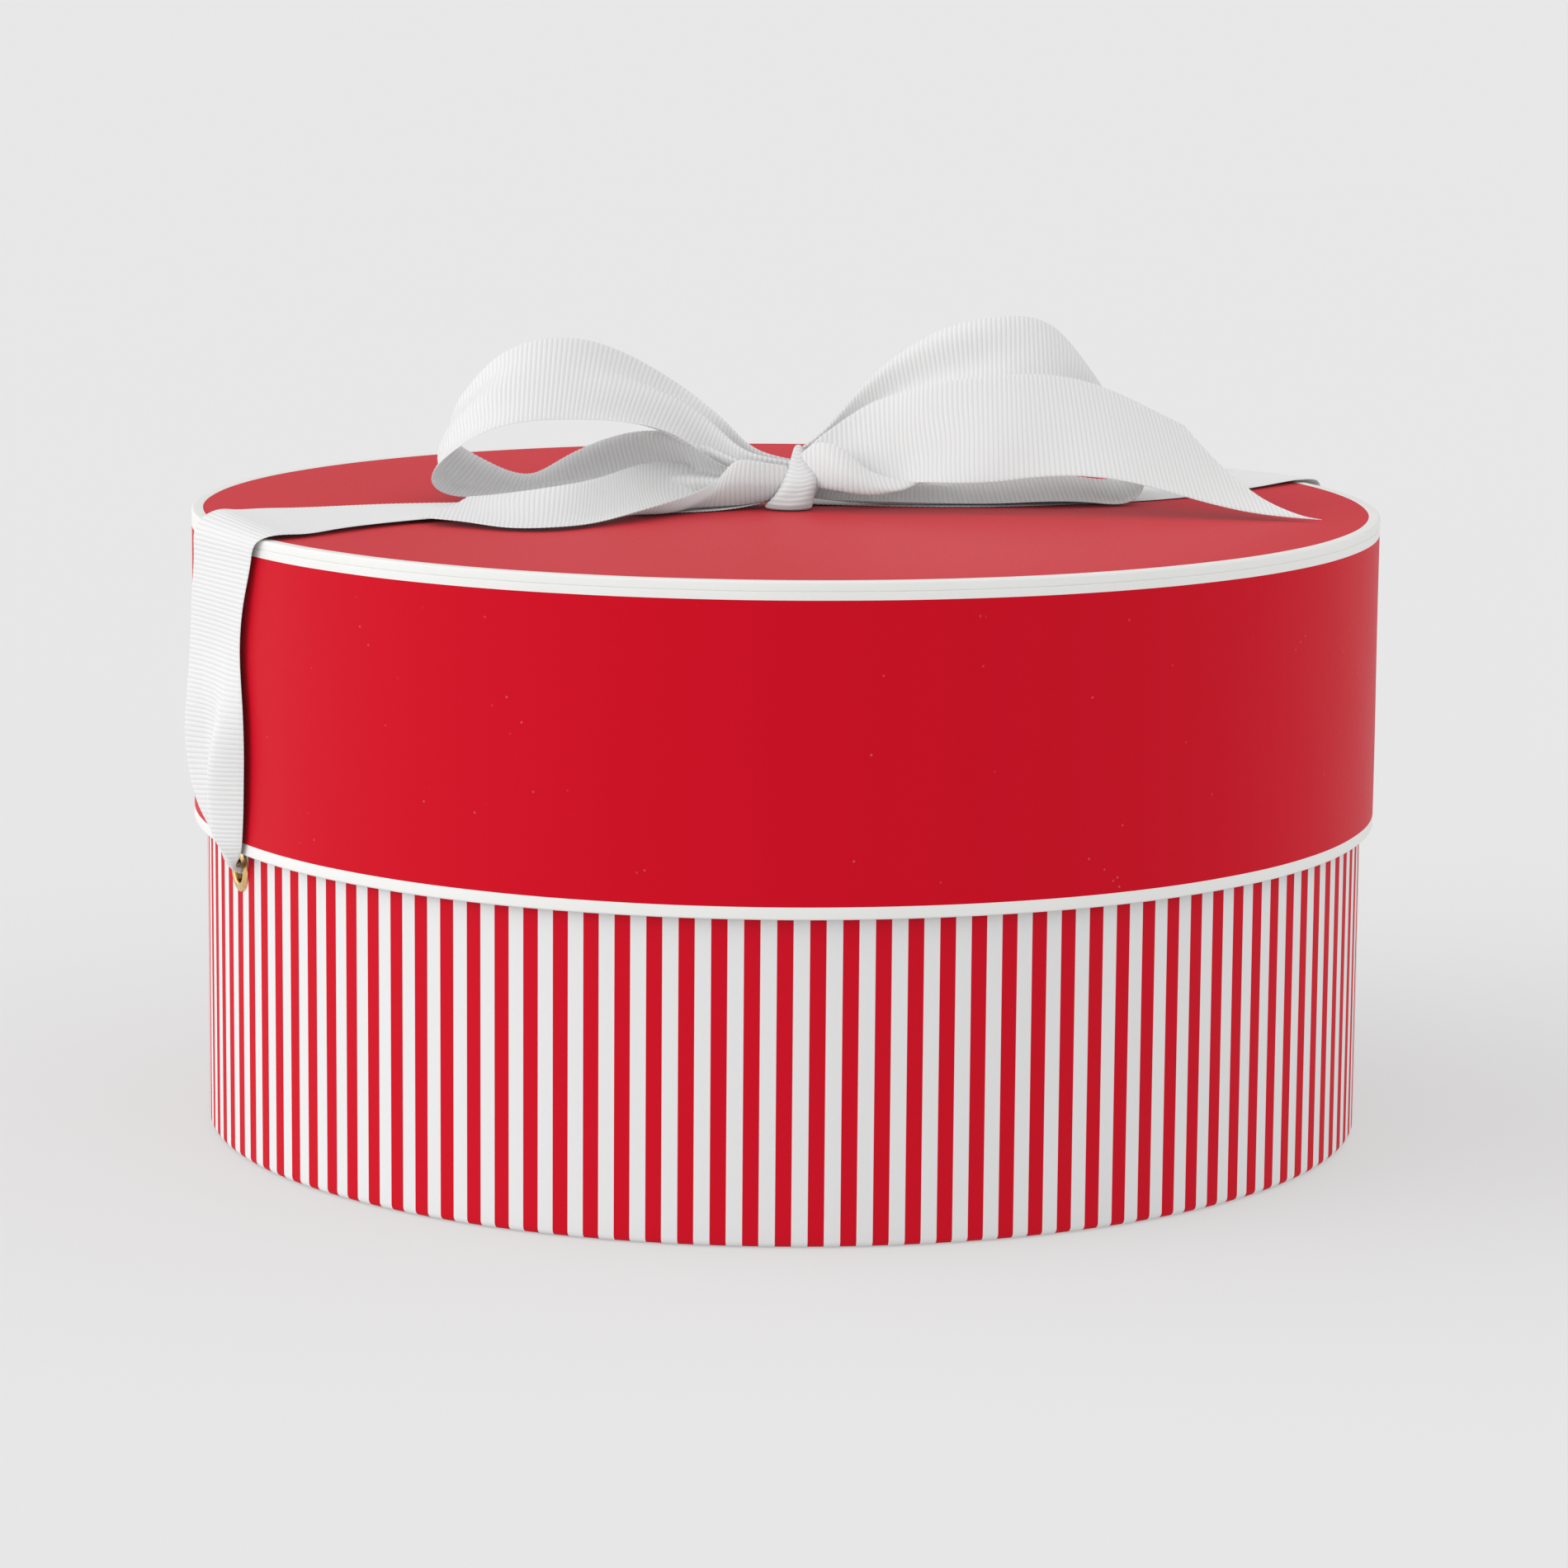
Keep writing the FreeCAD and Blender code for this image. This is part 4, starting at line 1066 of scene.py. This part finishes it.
class HATBOX_OT_stage(bpy.types.Operator):
    """Set the floor, the light and the camera"""

    bl_idname = "hatbox.stage"
    bl_label = "Stage"

    def execute(self, context):
        scene = context.scene
        scene.view_settings.view_transform = "Standard"
        material, nodes, shader = new_material("studio floor")
        cloud = nodes.add("ShaderNodeTexNoise", Scale=3.0, Detail=2.0,
                          Vector=nodes.add("ShaderNodeTexCoord").outputs["Object"])
        floor = [c * (1 - GLOW) for c in colours().floor]
        nodes.feed(shader, "Base Color", nodes.blend(cloud.outputs["Fac"], rgba(floor, 0.995), rgba(floor)))
        shader.inputs["Roughness"].default_value = 0.9
        shader.inputs["Emission Color"].default_value = rgba(colours().floor)
        shader.inputs["Emission Strength"].default_value = GLOW
        shader.inputs["Specular IOR Level"].default_value = 0.1
        half = FLOOR_HALF
        corners = np.array(((-half, -half, 0), (half, -half, 0), (half, half, 0), (-half, half, 0)))
        plane = mesh_object("floor", corners, [(0, 1, 2, 3)], material)

        world = bpy.data.worlds.new("studio")
        world.use_nodes = True
        sky = Nodes(world.node_tree)
        view = sizes().bow_turn
        toward = sky.add("ShaderNodeTexCoord").outputs["Generated"]
        split = sky.add("ShaderNodeSeparateXYZ", Vector=toward)
        window = sky.distance_along(toward, (-math.cos(view), -math.sin(view), 0.0))
        above = sky.math("MULTIPLY", sky.ramp(split.outputs["Z"], -0.05, 0.85), TOP_LIGHT)
        beside = sky.math("MULTIPLY", sky.ramp(window, 0.35, 1.0), WINDOW_LIGHT)
        opposite = sky.math("MULTIPLY", sky.ramp(sky.math("MULTIPLY", window, -1.0), 0.1, 1.0),
                            OPPOSITE_LIGHT)
        level = sky.math("ADD", sky.math("ADD", above, beside), sky.math("ADD", opposite, ROOM_LIGHT))
        ground = world.node_tree.nodes["Background"]
        ground.inputs["Color"].default_value = (1.0, 1.0, 1.0, 1.0)
        sky.feed(ground, "Strength", level)
        scene.world = world
        for name, power, angle, tilt, turn in LAMPS:
            sun = bpy.data.lights.new(name, "SUN")
            sun.energy = power
            sun.angle = math.radians(angle)
            lamp = bpy.data.objects.new(name, sun)
            lamp.rotation_euler = (math.radians(tilt), 0, view + math.radians(turn))
            lamp.visible_glossy = False
            scene.collection.objects.link(lamp)

        camera = bpy.data.cameras.new("camera")
        camera.sensor_width = CAMERA_SENSOR
        camera.lens = CAMERA_LENS
        eye = bpy.data.objects.new("camera", camera)
        eye.location = (CAMERA_BACK * math.sin(view), -CAMERA_BACK * math.cos(view), CAMERA_HEIGHT)
        aim = (Matrix.Rotation(view, 3, "Z") @ Matrix.Rotation(math.pi / 2 - CAMERA_TILT, 3, "X")
               @ Matrix.Rotation(CAMERA_ROLL, 3, "Z"))
        eye.rotation_euler = aim.to_euler()
        camera.clip_end = 200
        scene.collection.objects.link(eye)
        scene.camera = eye
        return {"FINISHED"}


class HATBOX_PT_panel(bpy.types.Panel):
    """Hat box"""

    bl_idname = "HATBOX_PT_panel"
    bl_label = "Hat Box"
    bl_space_type = "VIEW_3D"
    bl_region_type = "UI"
    bl_category = "Hat Box"

    def draw(self, context):
        """Lists the operators, the sizes and the colours."""
        for operator in OPERATORS:
            self.layout.operator(operator.bl_idname)
        for group in (context.scene.hat_box_sizes, context.scene.hat_box_colours):
            for name in type(group).__annotations__:
                self.layout.prop(group, name)


OPERATORS = (HATBOX_OT_base, HATBOX_OT_lid, HATBOX_OT_eyelets, HATBOX_OT_strands, HATBOX_OT_bow,
             HATBOX_OT_stage)
CLASSES = (HatBoxSizes, HatBoxColours) + OPERATORS + (HATBOX_PT_panel,)


def register():
    """Registers the classes and hangs their settings on the scene."""
    for cls in CLASSES:
        bpy.utils.register_class(cls)
    bpy.types.Scene.hat_box_sizes = bpy.props.PointerProperty(type=HatBoxSizes)
    bpy.types.Scene.hat_box_colours = bpy.props.PointerProperty(type=HatBoxColours)


def unregister():
    """Takes away what register adds."""
    del bpy.types.Scene.hat_box_colours
    del bpy.types.Scene.hat_box_sizes
    for cls in reversed(CLASSES):
        bpy.utils.unregister_class(cls)


def main():
    """Builds the box and its stage."""
    register()
    bpy.ops.hatbox.base()
    bpy.ops.hatbox.lid()
    bpy.ops.hatbox.eyelets()
    bpy.ops.hatbox.strands()
    bpy.ops.hatbox.bow()
    bpy.ops.hatbox.stage()


if __name__ == "__main__":
    main()
